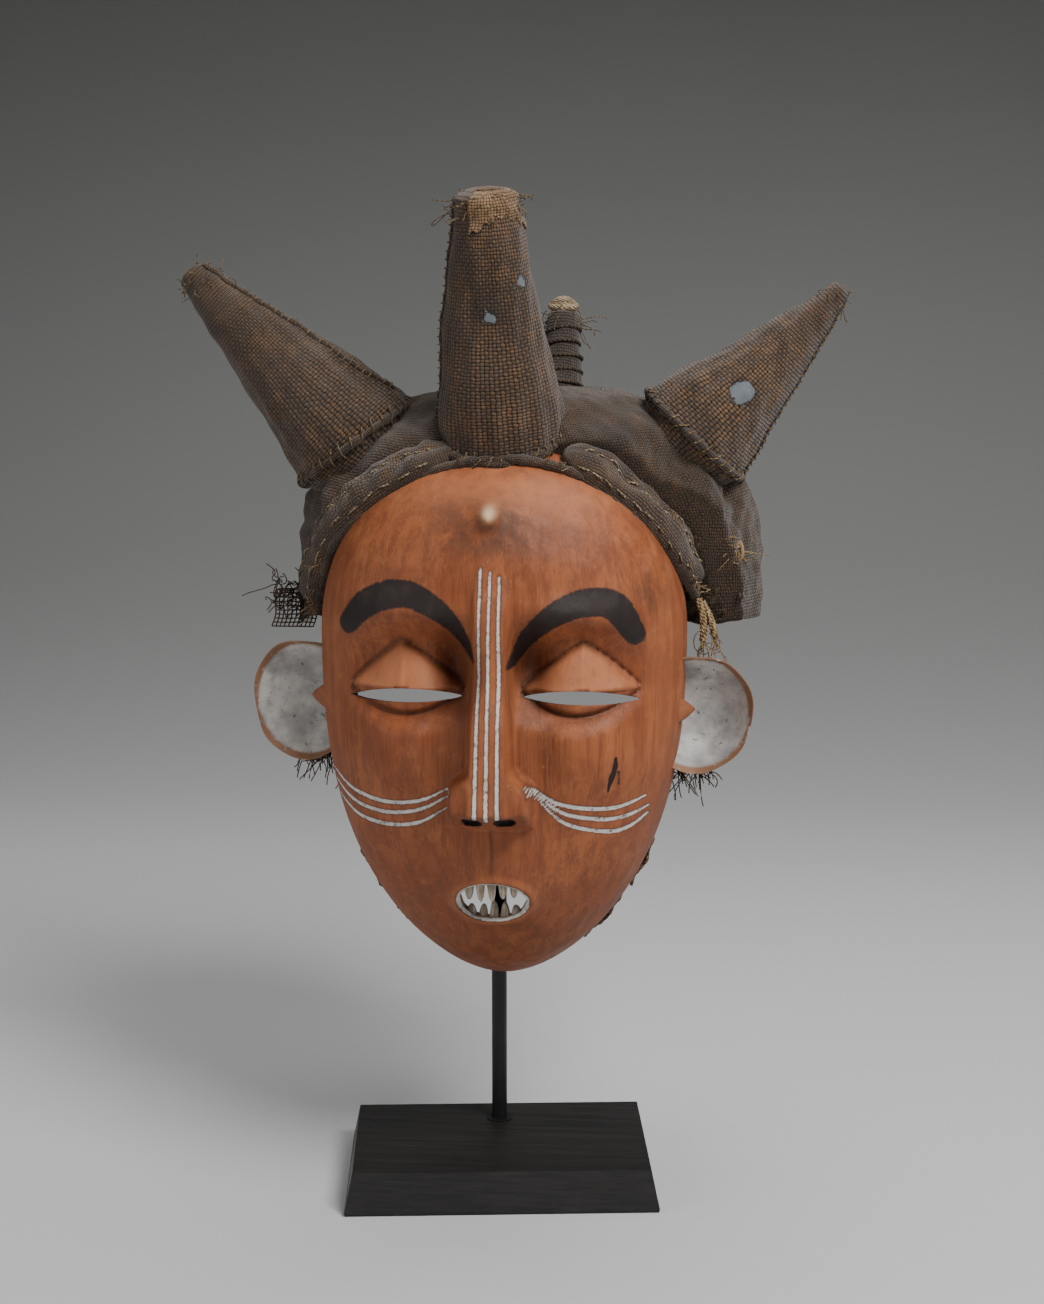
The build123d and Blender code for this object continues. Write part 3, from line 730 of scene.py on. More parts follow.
def cut(piece, cutter, materials):
    """Takes the cutter's shape out of the piece; the cut faces get the cutter's materials."""
    for material in materials:
        cutter.data.materials.append(material)
    if len(materials) > 1:
        normals = np.empty(len(cutter.data.polygons) * 3, np.float32)
        cutter.data.polygons.foreach_get("normal", normals)
        cutter.data.polygons.foreach_set("material_index", (normals[2::3] < -0.2).astype(np.int32))
    change = piece.modifiers.new("opening", "BOOLEAN")
    change.operation = "DIFFERENCE"
    change.solver = "EXACT"
    change.material_mode = "TRANSFER"
    change.object = cutter
    apply_modifiers(piece)
    bpy.data.objects.remove(cutter)


def apply_modifiers(piece):
    """Makes the piece's modifiers permanent."""
    graph = bpy.context.evaluated_depsgraph_get()
    made = bpy.data.meshes.new_from_object(
        piece.evaluated_get(graph), preserve_all_data_layers=True, depsgraph=graph
    )
    old = piece.data
    piece.modifiers.clear()
    piece.data = made
    made.name = piece.name
    bpy.data.meshes.remove(old)


def thicken(piece, thickness, offset=-1):
    """Gives a skin its thickness in millimetres: inwards, or on both sides with an offset of 0."""
    thick = piece.modifiers.new("thickness", "SOLIDIFY")
    thick.thickness = thickness * MM
    thick.offset = offset
    apply_modifiers(piece)


def cheek_lines():
    """The three curved lines on each cheek, from beside the nose outwards."""
    left = [
        [(-21.5, 267), (-42, 256.5), (-64.5, 253.5), (-84, 256.5), (-99.5, 264)],
        [(-24, 261), (-43, 250.5), (-64.5, 246.5), (-84, 249), (-98.5, 257)],
        [(-25.5, 253.5), (-44, 242), (-64.5, 238.5), (-82, 240.5), (-96.5, 248)],
    ]
    right = [
        [(20.5, 270), (36, 258), (56, 252.5), (73, 251.5), (87.5, 255)],
        [(22.5, 266), (40, 251.5), (61.5, 245), (76, 244.5), (89.5, 248)],
        [(25.5, 261), (42, 244.5), (64.5, 236.5), (78, 237), (89, 243)],
    ]
    return left + right


def nose_lines():
    """Three lines down the nose, spreading a little from the forehead to the tip."""
    return [[(0.3 + k * 5.4, 391 - 2 * k), (0.3 + k * 5.7, 320), (0.3 + k * 6.4, 253.5)] for k in (-1, 0, 1)]


def brow_strokes():
    left = [(-85, 357), (-74, 369), (-58, 376.5), (-42, 376), (-24, 364), (-11, 341)]
    right = [(11.5, 337), (22, 354), (38, 368), (55, 373.5), (70, 370), (81, 353)]
    thick = [6.0, 7.6, 7.8, 7.0, 5.2, 2.2]
    return (left, thick), (right, thick[::-1])


def paint_fields(piece, settings):
    """Distances, in millimetres, that the paint material turns into ragged strokes and lines."""
    x, y, z = points_of(piece).T
    inside = y > front_y(x, z, settings) + 4.0
    far = np.where(inside, 50.0, 0.0)
    brow = np.minimum(*(stroke(x, z, path, radii) for path, radii in brow_strokes()))
    set_field(piece, "brow", np.clip(brow, -10, 10) + far)
    line = np.full(len(x), 20.0)
    for path in nose_lines():
        line = np.minimum(line, stroke(x, z, path, [0.75, 0.85, 1.15], 12))
    for path in cheek_lines():
        line = np.minimum(line, stroke(x, z, path, [0.45, 1.1, 1.25, 1.15, 0.6], 24))
    lid_line = np.abs(z - (EYE_Z - 4.2)) - 1.3 + 4.0 * smooth(np.abs(np.abs(x) - EYE_X), 20, 34)
    line = np.minimum(line, np.where(np.abs(np.abs(x) - EYE_X) < 33, lid_line, 20.0))
    lip = np.hypot((x - MOUTH_X) / MOUTH_A, (z - MOUTH_Z) / MOUTH_B)
    line = np.minimum(line, (np.abs(lip - 1.05) * 16.0) - 1.0)
    set_field(piece, "line", np.clip(line, -10, 20) + far)
    upper, _, bow, top, low = lid_shapes(x, z)
    lid = ((upper > 0) & (upper < 1)).astype(float)
    lip_ring = np.exp(-(((lip - 1.15) / 0.22) ** 2))
    # Painted highlights on the upper lids, the forehead's top, the nose's ridge and the face's sides, and the
    # paler worn lip round the mouth.
    light = 0.95 * lid + 0.8 * hill(x, z, 8, 432, 60, 14) + 0.35 * hill(np.abs(x), z, 98, 330, 9, 60)
    light = light + 0.35 * hill(x, z, 0.3, 300, 9, 70) + 0.5 * lip_ring
    set_field(piece, "light", np.clip(light, 0, 1))
    # Painted shade in the lids' creases, at the eyes' inner corners, in the hollows beside the nose and down
    # the philtrum; the wood is also made darker towards the chin and on the face's lower sides.
    dark = 0.8 * lid_creases(z, bow, top, low, 2.2, 2.6) + 0.55 * hill(np.abs(x), z, 20, 333, 12, 24)
    dark = dark + 0.35 * hill(np.abs(x), z, 30, 285, 16, 30)
    dark = dark + 0.45 * smooth(z, 235, 150) + 0.3 * smooth(np.abs(x), 60, 105) * smooth(z, 300, 240)
    # A thin painted shade line down the philtrum.
    philtrum = np.exp(-(((x - 0.2 - 0.6 * np.sin(z * 0.2)) / 0.9) ** 2))
    philtrum = philtrum * smooth(z, 212, 216) * smooth(z, 246, 240)
    nostril = nostril_reach(x, z)
    # Painted shade under the nose, between its foot and its tip.
    below = smooth(z, 260, 256) * smooth(z, 243, 246) * smooth(np.abs(x), 24, 20)
    set_field(piece, "dark", np.clip(dark + 0.9 * philtrum, 0, 1))
    # Soot on the forehead round the boss and at the right temple, with painted shade at the eyes' inner
    # corners and under the nose.
    soot_and_shade = 0.8 * hill(x, z, 2, 408, 38, 13) + 0.9 * hill(x, z, 2, 420, 20, 11)
    soot_and_shade = soot_and_shade * (1 - hill(x, z, -1.5, 423, 4.5, 4.5)) + 0.85 * hill(x, z, 90, 374, 12, 14)
    soot_and_shade = soot_and_shade + 0.5 * hill(x, z, -28, 425, 22, 9) + 0.45 * hill(np.abs(x), z, 22, 330, 9, 20) + 0.45 * below
    set_field(piece, "soot_and_shade", np.clip(soot_and_shade, 0, 1))
    set_field(piece, "tip", 1.1 * np.exp(-(((x + 1.5) / 3.6) ** 2) - ((z - 423) / 3.6) ** 2))
    crack_and_nostril_shade = stroke(x, z, [(66.5, 262), (68.5, 270), (70.5, 276), (71, 283)], [0.5, 1.5, 1.3, 0.4], 10)
    crack_and_nostril_shade = np.minimum(crack_and_nostril_shade, stroke(x, z, [(72.5, 266), (73, 274)], [0.5, 0.5], 4))
    # The nostrils take the crack's near-black colour too: painted shade in the nostrils.
    crack_and_nostril_shade = np.minimum(crack_and_nostril_shade, (nostril - 0.95) * 4.0)
    set_field(piece, "crack_and_nostril_shade", np.clip(crack_and_nostril_shade, -5, 10) + far)


class MASK_OT_carving(bpy.types.Operator):
    """Build the carved face with its openings and paint"""

    bl_idname = "mask.carving"
    bl_label = "Carving"

    def execute(self, context):
        settings = context.scene.mask_carving
        ring, columns = face_points(settings)
        rows, cols = ring.shape[:2]
        slots = (np.arange(cols - 1) >= columns - 1).astype(int)
        slots = np.broadcast_to(slots, (rows - 1, cols - 1)).ravel()
        paint = painted_wood()
        raw = bare_wood("hollow_wood", (0.075, 0.032, 0.016), (0.16, 0.075, 0.038))
        faces = grid_faces(rows, cols)
        piece = new_mesh("carved_face", ring.reshape(-1, 3), faces, [paint, raw], None, slots)
        pale = chalk_paint("eye_edge_white", (0.62, 0.60, 0.57), (0.30, 0.28, 0.26))
        # Painted shade: a darker copy of the hollow's bare wood for the eye slits' cut faces that come from
        # the cutter's downward-facing side.
        roof = bare_wood("eye_slit_shaded_wood", (0.030, 0.014, 0.009), (0.08, 0.035, 0.02))
        lip = bare_wood("lip_wood", (0.34, 0.20, 0.12), (0.60, 0.44, 0.31))
        for sign in (-1, 1):
            cut(piece, lens_cutter(sign), [pale, roof])
        cut(piece, mouth_cutter(), [lip])
        paint_fields(piece, settings)
        finish_piece(piece, ["carved_face"])
        return {"FINISHED"}


def tooth(x, root, tip, y, wide, thick, lean):
    """One tooth: rounded oblong rings that narrow from the root to a blunt point."""
    s = np.concatenate([[0, 0], np.linspace(0, 1, 12), [1]])[:, None]
    out = np.concatenate([[0, 1], np.ones(12), [0]])[:, None]
    turn = np.linspace(0, 2 * pi, 21)[None, :]
    taper = (1 - 0.55 * s**1.5) * np.sqrt(np.clip(1 - s**7, 0, 1)) + 0.02
    cx, sx = np.cos(turn), np.sin(turn)
    px = x + lean * s + out * wide / 2 * taper * np.sign(cx) * np.abs(cx) ** 0.6
    py = y + out * thick / 2 * taper * np.sign(sx) * np.abs(sx) ** 0.7 - 1.0 * s
    pz = root + (tip - root) * s + 0 * turn
    return np.stack([px, py, pz], -1)


class MASK_OT_teeth(bpy.types.Operator):
    """Build the two rows of pointed teeth"""

    bl_idname = "mask.teeth"
    bl_label = "Teeth"

    def execute(self, context):
        settings = context.scene.mask_carving
        enamel = tooth_enamel()
        rng = np.random.default_rng(11)
        for row, sign, count in (("upper", 1, 5), ("lower", -1, 5)):
            solids = []
            pitch = 2 * MOUTH_A * 0.86 / count
            for k in range(count):
                x = MOUTH_X + (k - (count - 1) / 2) * pitch
                edge = MOUTH_B * np.sqrt(1 - ((x - MOUTH_X) / MOUTH_A) ** 2)
                root = MOUTH_Z + sign * (edge + 2.5)
                y = float(front_y(np.array(x), np.array(MOUTH_Z + sign * (edge + 3)), settings)) + 6.0
                tip = MOUTH_Z + sign * rng.uniform(1.6, 4.8)
                wide = pitch * rng.uniform(0.80, 0.98)
                solids.append(tooth(x, root, tip, y, wide, 5.0, rng.uniform(-0.7, 0.7)))
            points = np.stack(solids)
            n, c = points.shape[1:3]
            faces = (np.arange(count)[:, None, None] * n * c + grid_faces(n, c)[None]).reshape(-1, 4)
            piece = new_mesh(f"teeth_{row}", points.reshape(-1, 3), faces, [enamel])
            finish_piece(piece)
        return {"FINISHED"}


def ear_points(centre, radii, sign):
    """A round cup: rings from the middle of its hollow, over the rim, to the middle of its back."""
    profile_r = [0.0, 0.3, 0.55, 0.75, 0.88, 0.955, 0.985, 1.0, 1.0, 0.985, 0.94, 0.82, 0.6, 0.3, 0.0]
    profile_r = np.array(profile_r)
    profile_y = np.array([17.0, 16.0, 13.0, 8.4, 3.6, 0.2, -1.2, -0.9, 1.0, 3.6, 7.8, 13.8, 19.0, 21.5, 22.2])
    s = np.linspace(0, len(profile_r) - 1, 76)
    stations = range(len(profile_r))
    r = np.clip(through(stations, profile_r, s), 0, 1.02)[:, None]
    depth = through(stations, profile_y, s)[:, None]
    r[0], r[-1] = 0, 0
    turn = np.linspace(0, 2 * pi, 129)[None, :]
    c, q = np.cos(turn), np.sin(turn)
    rough = 1 + 0.022 * np.sin(3 * turn + 0.6) + 0.012 * np.sin(7 * turn)
    x = centre[0] + radii[0] * r * rough * np.sign(c) * np.abs(c) ** 0.92
    z = centre[2] + radii[1] * r * rough * np.sign(q) * np.abs(q) ** 0.92
    outward = sign * (x - centre[0])
    y = centre[1] + depth + 0.10 * outward + 0 * turn
    return np.stack([x, y, z], -1)


class MASK_OT_ears(bpy.types.Operator):
    """Build the two cup-shaped ears with their small inner points"""

    bl_idname = "mask.ears"
    bl_label = "Ears"

    def execute(self, context):
        white = chalk_paint("ear_white", (0.66, 0.64, 0.60), (0.30, 0.295, 0.29))
        tab_wood = painted_wood_plain()
        for side, sign, centre, radii in (
            ("left", -1, (-119.5, -28.0, 302.5), (32.0, 36.5)),
            ("right", 1, (117.5, -28.0, 297.5), (32.5, 35.5)),
        ):
            piece = grid_mesh(f"ear_{side}", ear_points(centre, radii, sign), [white])
            place = points_of(piece)
            turn = np.hypot((place[:, 0] - centre[0]) / radii[0], (place[:, 2] - centre[2]) / radii[1])
            outward = sign * (place[:, 0] - centre[0])
            depth = place[:, 1] - centre[1] - 0.10 * outward
            back = depth > 17.0 - 17.0 * np.clip(turn, 0, 1) ** 2.2 + 2.6
            set_field(piece, "rim", np.where(back, 1.6, smooth(turn, 0.90, 0.975) * 1.5))
            finish_piece(piece)
            tab_z = centre[2] + 2.5
            s = np.linspace(0, 1, 16)[:, None]
            turn = np.linspace(0, 2 * pi, 33)[None, :]
            size = np.clip(1 - s**1.3, 0, 1) ** 0.8 * np.where(s == 0, 0.0, 1.0)
            x = sign * (102.0 + 14.0 * s) + 0 * turn
            y = -31.0 + 5.5 * size * np.cos(turn) + 6.0 * s
            z = tab_z + 9.5 * size * np.sin(turn)
            tab = grid_mesh(f"ear_{side}_tab", np.stack([x, y, z], -1), [tab_wood])
            finish_piece(tab)
        return {"FINISHED"}


def painted_wood_plain():
    """The carving's ochre-red without its painted marks, for the small points in the ears."""
    g = Graph("painted_wood_plain")
    place = g.place()
    grain = wood_grain(g)
    cloud = g.noise(place, 60, 5, 0.6)
    colour = g.mix(g.step(cloud, 0.3, 0.7), (0.26, 0.075, 0.028), (0.42, 0.15, 0.06))
    colour = g.mix(g.math("MULTIPLY", g.step(grain, 0.45, 0.62), 0.5), colour, (0.14, 0.045, 0.02))
    return g.done(colour, 0.6, g.bump(grain, 0.0006, 0.7))


# ---------------------------------------------------------------- cloth cap
HEM = np.array(
    [
        (-113.0, -5.0, 350.0),
        (-111.5, -11.0, 366.0),
        (-97.0, -31.0, 399.0),
        (-61.0, -48.0, 428.5),
        (-28.5, -54.0, 444.0),
        (4.5, -55.5, 449.0),
        (37.0, -53.0, 443.5),
        (60.0, -48.0, 430.0),
        (84.0, -38.5, 408.0),
        (102.5, -24.0, 383.0),
        (115.0, -9.0, 364.0),
    ]
)
FACE_CENTRE = np.array([0.0, 20.0, 340.0])
HEM_BACK = np.array([0.0, 0.944, 0.33])


def hem_frame(s):
    """Points along the hem, 0 at the left temple to 10 at the right, with the ways back and outward."""
    s = np.asarray(s, float)
    here = through(range(len(HEM)), HEM, s)
    ahead = through(range(len(HEM)), HEM, np.minimum(s + 0.02, len(HEM) - 1))
    behind = through(range(len(HEM)), HEM, np.maximum(s - 0.02, 0))
    along = ahead - behind
    along /= np.linalg.norm(along, axis=-1, keepdims=True)
    back = HEM_BACK - along * (along @ HEM_BACK)[..., None]
    back /= np.linalg.norm(back, axis=-1, keepdims=True)
    outward = np.cross(along, back)
    sign = np.sign(np.sum(outward * (here - FACE_CENTRE), axis=-1, keepdims=True))
    return here, back, outward * sign


ROLLS = {"left": (0.35, 4.15), "right": (5.95, 10.0)}


def roll_surface(side, share, angle, lift=0.0):
    """A padded roll behind the hem: share 0 to 1 along it, angle round it, lumpy, narrow at its ends."""
    low, high = ROLLS[side]
    here, back, outward = hem_frame(low + (high - low) * share)
    end = np.sqrt(np.clip(1 - np.abs(2 * share - 1) ** 5, 0, 1))
    droop = smooth(share, 0.75, 1.0) if side == "right" else 0.6 * smooth(share, 0.25, 0.0)
    a = (15.5 + 1.5 * np.sin(9 * share + 1)) * end
    b = (12.5 + 1.2 * np.sin(13 * share) + 1.5 * droop) * end
    centre = here + back * 15.5 + outward * 4.2
    c, q = np.cos(angle), np.sin(angle)
    pinch = 1 - 0.13 * np.exp(-(((angle - 0.60 * pi) / 0.20) ** 2))
    point = centre + back * ((a * pinch + lift) * c)[..., None]
    point = point + outward * ((b * pinch + lift) * q)[..., None]
    lumps = waves(point, 16, 40 + len(side)) * 1.2 * end
    return point + outward * (lumps * np.clip(q, 0, 1))[..., None]


def cap_points(lift=0.0):
    """The cap's dome, squarer than an ellipse, kept behind the hem; rows go from its edge to its top."""
    rise = np.radians(np.linspace(-9, 90, 110))[:, None]
    turn = np.linspace(0, 2 * pi, 261)[None, :]
    t = np.sin(rise)
    reach = (1 - np.abs(t) ** 2.6) ** (1 / 2.6)
    x = CAP_CENTRE[0] + (CAP_AXES[0] + lift) * reach * np.cos(turn)
    y = CAP_CENTRE[1] + (CAP_AXES[1] + lift) * reach * np.sin(turn)
    z = CAP_CENTRE[2] + (CAP_AXES[2] + lift) * t + 0 * turn
    points = np.stack([x, y, z], -1)
    normal = np.stack([x - CAP_CENTRE[0], (y - CAP_CENTRE[1]) * 1.8, (z - CAP_CENTRE[2]) * 1.3], -1)
    normal /= np.linalg.norm(normal, axis=-1, keepdims=True)
    folds = waves(points * [1.0, 1.0, 0.5], 34, 3) * 3.0 + waves(points, 13, 8) * 1.0
    points = points + normal * (folds * reach)[..., None]
    edge = smooth(rise, radians(4), radians(-9)) + 0 * turn
    points[..., 2] += edge * (4.5 * np.sin(5 * turn + 1) + 2.5 * np.sin(11 * turn))
    limit = HEM_TOP_Y + (HEM_TOP_Z - points[..., 2]) * HEM_SLOPE + 17.0
    points[..., 1] = np.maximum(points[..., 1], limit)
    uv = np.stack([turn * 125 + 0 * rise, rise * 125 + 0 * turn], -1)
    return points, uv


def no_holes(piece):
    set_field(piece, "hole", np.full(len(piece.data.vertices), 50.0))


def cap_cloth():
    return woven("cap_cloth", (0.044, 0.033, 0.025), (0.21, 0.105, 0.045), (0.010, 0.008, 0.006), 2.0, 0.70)


class MASK_OT_cap(bpy.types.Operator):
    """Build the cap's dome and lining, the rolls behind the hem and the piping against the wood"""

    bl_idname = "mask.cap"
    bl_label = "Cap"

    def execute(self, context):
        settings = context.scene.mask_cloth
        cloth = cap_cloth()
        points, uv = cap_points()
        dome = grid_mesh("cap_crown", points, [cloth], uv)
        thicken(dome, 2.6)
        no_holes(dome)
        finish_piece(dome, ["cap_crown", "cap_padding"])

        gap = (0.03, 0.022, 0.015)
        lining_cloth = woven("lining_cloth", (0.13, 0.095, 0.06), (0.24, 0.18, 0.11), gap, 1.5, 0.3)
        points, uv = cap_points(-13.0)
        points = points[::-1]
        lining = grid_mesh("cap_lining", points, [lining_cloth], uv[::-1])
        thicken(lining, 2.0)
        no_holes(lining)
        finish_piece(lining, ["cap_lining"])

        gap = (0.012, 0.010, 0.008)
        roll_cloth = woven("roll_cloth", (0.058, 0.043, 0.034), (0.26, 0.14, 0.065), gap, 1.5, 0.7)
        thread = fibre("stitch_thread", (0.24, 0.17, 0.09), (0.50, 0.40, 0.26))
        for side in ROLLS:
            share = np.linspace(0, 1, 150)[:, None] + np.zeros((1, 65))
            angle = np.linspace(0, 2 * pi, 65)[None, :] + np.zeros((150, 1))
            uv = np.stack([angle * 12, share * 150], -1)
            roll = grid_mesh(f"brow_roll_{side}", roll_surface(side, share, angle), [roll_cloth], uv)
            no_holes(roll)
            finish_piece(roll, [f"brow_roll_{side}"])
            self.stitch(side, settings, thread)

        s = np.linspace(0.0, 10.0, 260)
        here, back, outward = hem_frame(s)
        path = here + back * 2.8 + outward * 1.2
        size = 2.9 + 0.5 * np.sin(s * 21) * np.sin(s * 8)
        piping_cloth = woven("piping_cloth", (0.055, 0.042, 0.034), (0.24, 0.13, 0.06), gap, 1.3, 0.6)
        piping = tubes("cap_piping", path, size, piping_cloth, 16)
        no_holes(piping)
        finish_piece(piping, ["cap_piping"])
        return {"FINISHED"}

    def stitch(self, side, settings, thread):
        """Running stitches in two rows along the roll, each a short bowed thread."""
        rng = np.random.default_rng(7 + len(side))
        bow = np.linspace(0, 1, 7)
        paths = []
        for angle, step in ((0.60 * pi, 0.062), (0.90 * pi, 0.075)):
            for start in np.arange(0.08, 0.90, step):
                long = settings.stitch / 130 * rng.uniform(0.8, 1.5)
                share = start + rng.uniform(-0.006, 0.006) + long * bow
                slant = angle + rng.uniform(-0.10, 0.10) + rng.uniform(-0.12, 0.12) * bow
                lift = 1.1 * np.sin(pi * bow) - 0.3
                paths.append(roll_surface(side, share, slant, lift))
        piece = tubes(f"brow_roll_{side}_stitches", np.stack(paths), 0.55, thread, 6)
        finish_piece(piece)


# ---------------------------------------------------------------- horns
HORNS = {  # base centre, tip centre, stations along the horn and the radius at each
    "front": ((0.5, -14, 440), (-7, -48, 604), (0, 0.08, 0.2, 0.5, 0.8, 1), (33, 37, 37.5, 30, 21.5, 16.5)),
    "left": ((-82, 15, 447), (-195, 15, 559), (0, 0.08, 0.2, 0.5, 0.8, 1), (35, 41, 38.5, 27.5, 16, 9.0)),
    "right": ((102, 15, 450), (200, 15, 549), (0, 0.1, 0.2, 0.5, 0.8, 1), (31, 36.5, 35, 24, 12, 5.0)),
    "back": ((22, 86, 430), (26, 128, 532), (0, 0.3, 0.6, 1), (24, 19, 14.5, 9.0)),
}
SEAM_PLANES = {
    "front": ((0, -18, 467), (0, -0.47, 0.88)),
    "left": ((-90, 15, 456), (-0.59, 0, 0.81)),
    "right": ((113, 15, 461), (0.67, 0, 0.74)),
    "back": ((23, 97, 455), (0.05, 0.81, 0.58)),
}
HOLES = {"front": [(0.60, 0.5 * pi, 3.2), (0.70, 0.80 * pi, 2.6)], "right": [(0.40, 0.5 * pi, 7.0)]}


def horn_surface(side, share, turn, lift=0.0):
    """A stuffed cloth cone: share 0 to 1 from base to tip, turn round it, uneven and slightly bent."""
    base, tip, stations, radii = HORNS[side]
    base, tip = np.array(base, float), np.array(tip, float)
    axis = (tip - base) / np.linalg.norm(tip - base)
    first = np.cross(axis, [0.0, 1.0, 0.0])
    first /= np.linalg.norm(first)
    second = np.cross(axis, first)
    share, turn = np.broadcast_arrays(np.asarray(share, float), np.asarray(turn, float))
    inside = np.clip(share, 0, 1)
    radius = through(stations, np.array(radii, float), inside)
    close = np.sqrt(np.clip(1 - np.clip((share - 0.965) / 0.035, 0, 1) ** 2, 0, 1))
    radial = first * np.cos(turn)[..., None] + second * np.sin(turn)[..., None]
    bend = np.array([0.0, 0.0, -2.0]) * np.sin(pi * inside)[..., None]
    spine = base + (tip - base) * inside[..., None] + bend
    seed = 60 + len(side)
    round_ = spine + radial * radius[..., None]
    lumps = waves(round_, 42, seed) * 1.0 + waves(round_ * [1, 1, 0.4], 12, seed + 1) * 0.4
    ribs = 0.35 * np.sin(turn * 16 + 2 * np.sin(share * 6)) * smooth(share, 0.9, 0.3)
    total = (radius + (lumps + ribs) * smooth(share, 0.0, 0.1) + lift) * close
    return spine + radial * total[..., None]


def seam_ring(side, count=140, lift=0.4):
    """The closed line where a horn meets the cap: the horn's surface cut by a slanting plane."""
    middle, outwards = (np.array(v, float) for v in SEAM_PLANES[side])
    turn = np.linspace(0, 2 * pi, count)
    share = np.full(count, 0.1)
    base, tip = np.array(HORNS[side][0], float), np.array(HORNS[side][1], float)
    slope = (tip - base) @ outwards
    for _ in range(8):
        gap = (horn_surface(side, share, turn) - middle) @ outwards
        share = np.clip(share - gap / slope, 0.0, 0.6)
    return share, turn, horn_surface(side, share, turn, lift)


def whip_stitches(side, share, turn, every, rng):
    """Short threads that cross the seam at a slant, lifted over it."""
    bow = np.linspace(-1, 1, 7)
    paths = []
    for k in range(0, len(turn) - 2, every):
        slant = rng.uniform(0.02, 0.10)
        reach = rng.uniform(0.020, 0.034)
        lift = 0.6 + 2.4 * np.cos(bow * pi / 2)
        paths.append(horn_surface(side, share[k] + reach * bow, turn[k] + slant * bow, lift))
    return np.stack(paths)


def frays(roots, ways, length, seed, curl=0.35):
    """Loose thread ends: each starts at a root, goes its way, curls at random and sinks a little."""
    rng = np.random.default_rng(seed)
    m = len(roots)
    t = np.linspace(0, 1, 9)[None, :, None]
    long = length * rng.uniform(0.5, 1.3, (m, 1, 1))
    side = rng.normal(size=(m, 1, 3))
    other = rng.normal(size=(m, 1, 3))
    phase = rng.uniform(0, 2 * pi, (m, 1, 1))
    wander = side * np.sin(4 * t + phase) - side * np.sin(phase) + other * t**2
    sink = np.array([0.0, 0.0, -0.45]) * t**2
    return np.asarray(roots)[:, None] + long * (np.asarray(ways)[:, None] * t + curl * wander * t + sink)


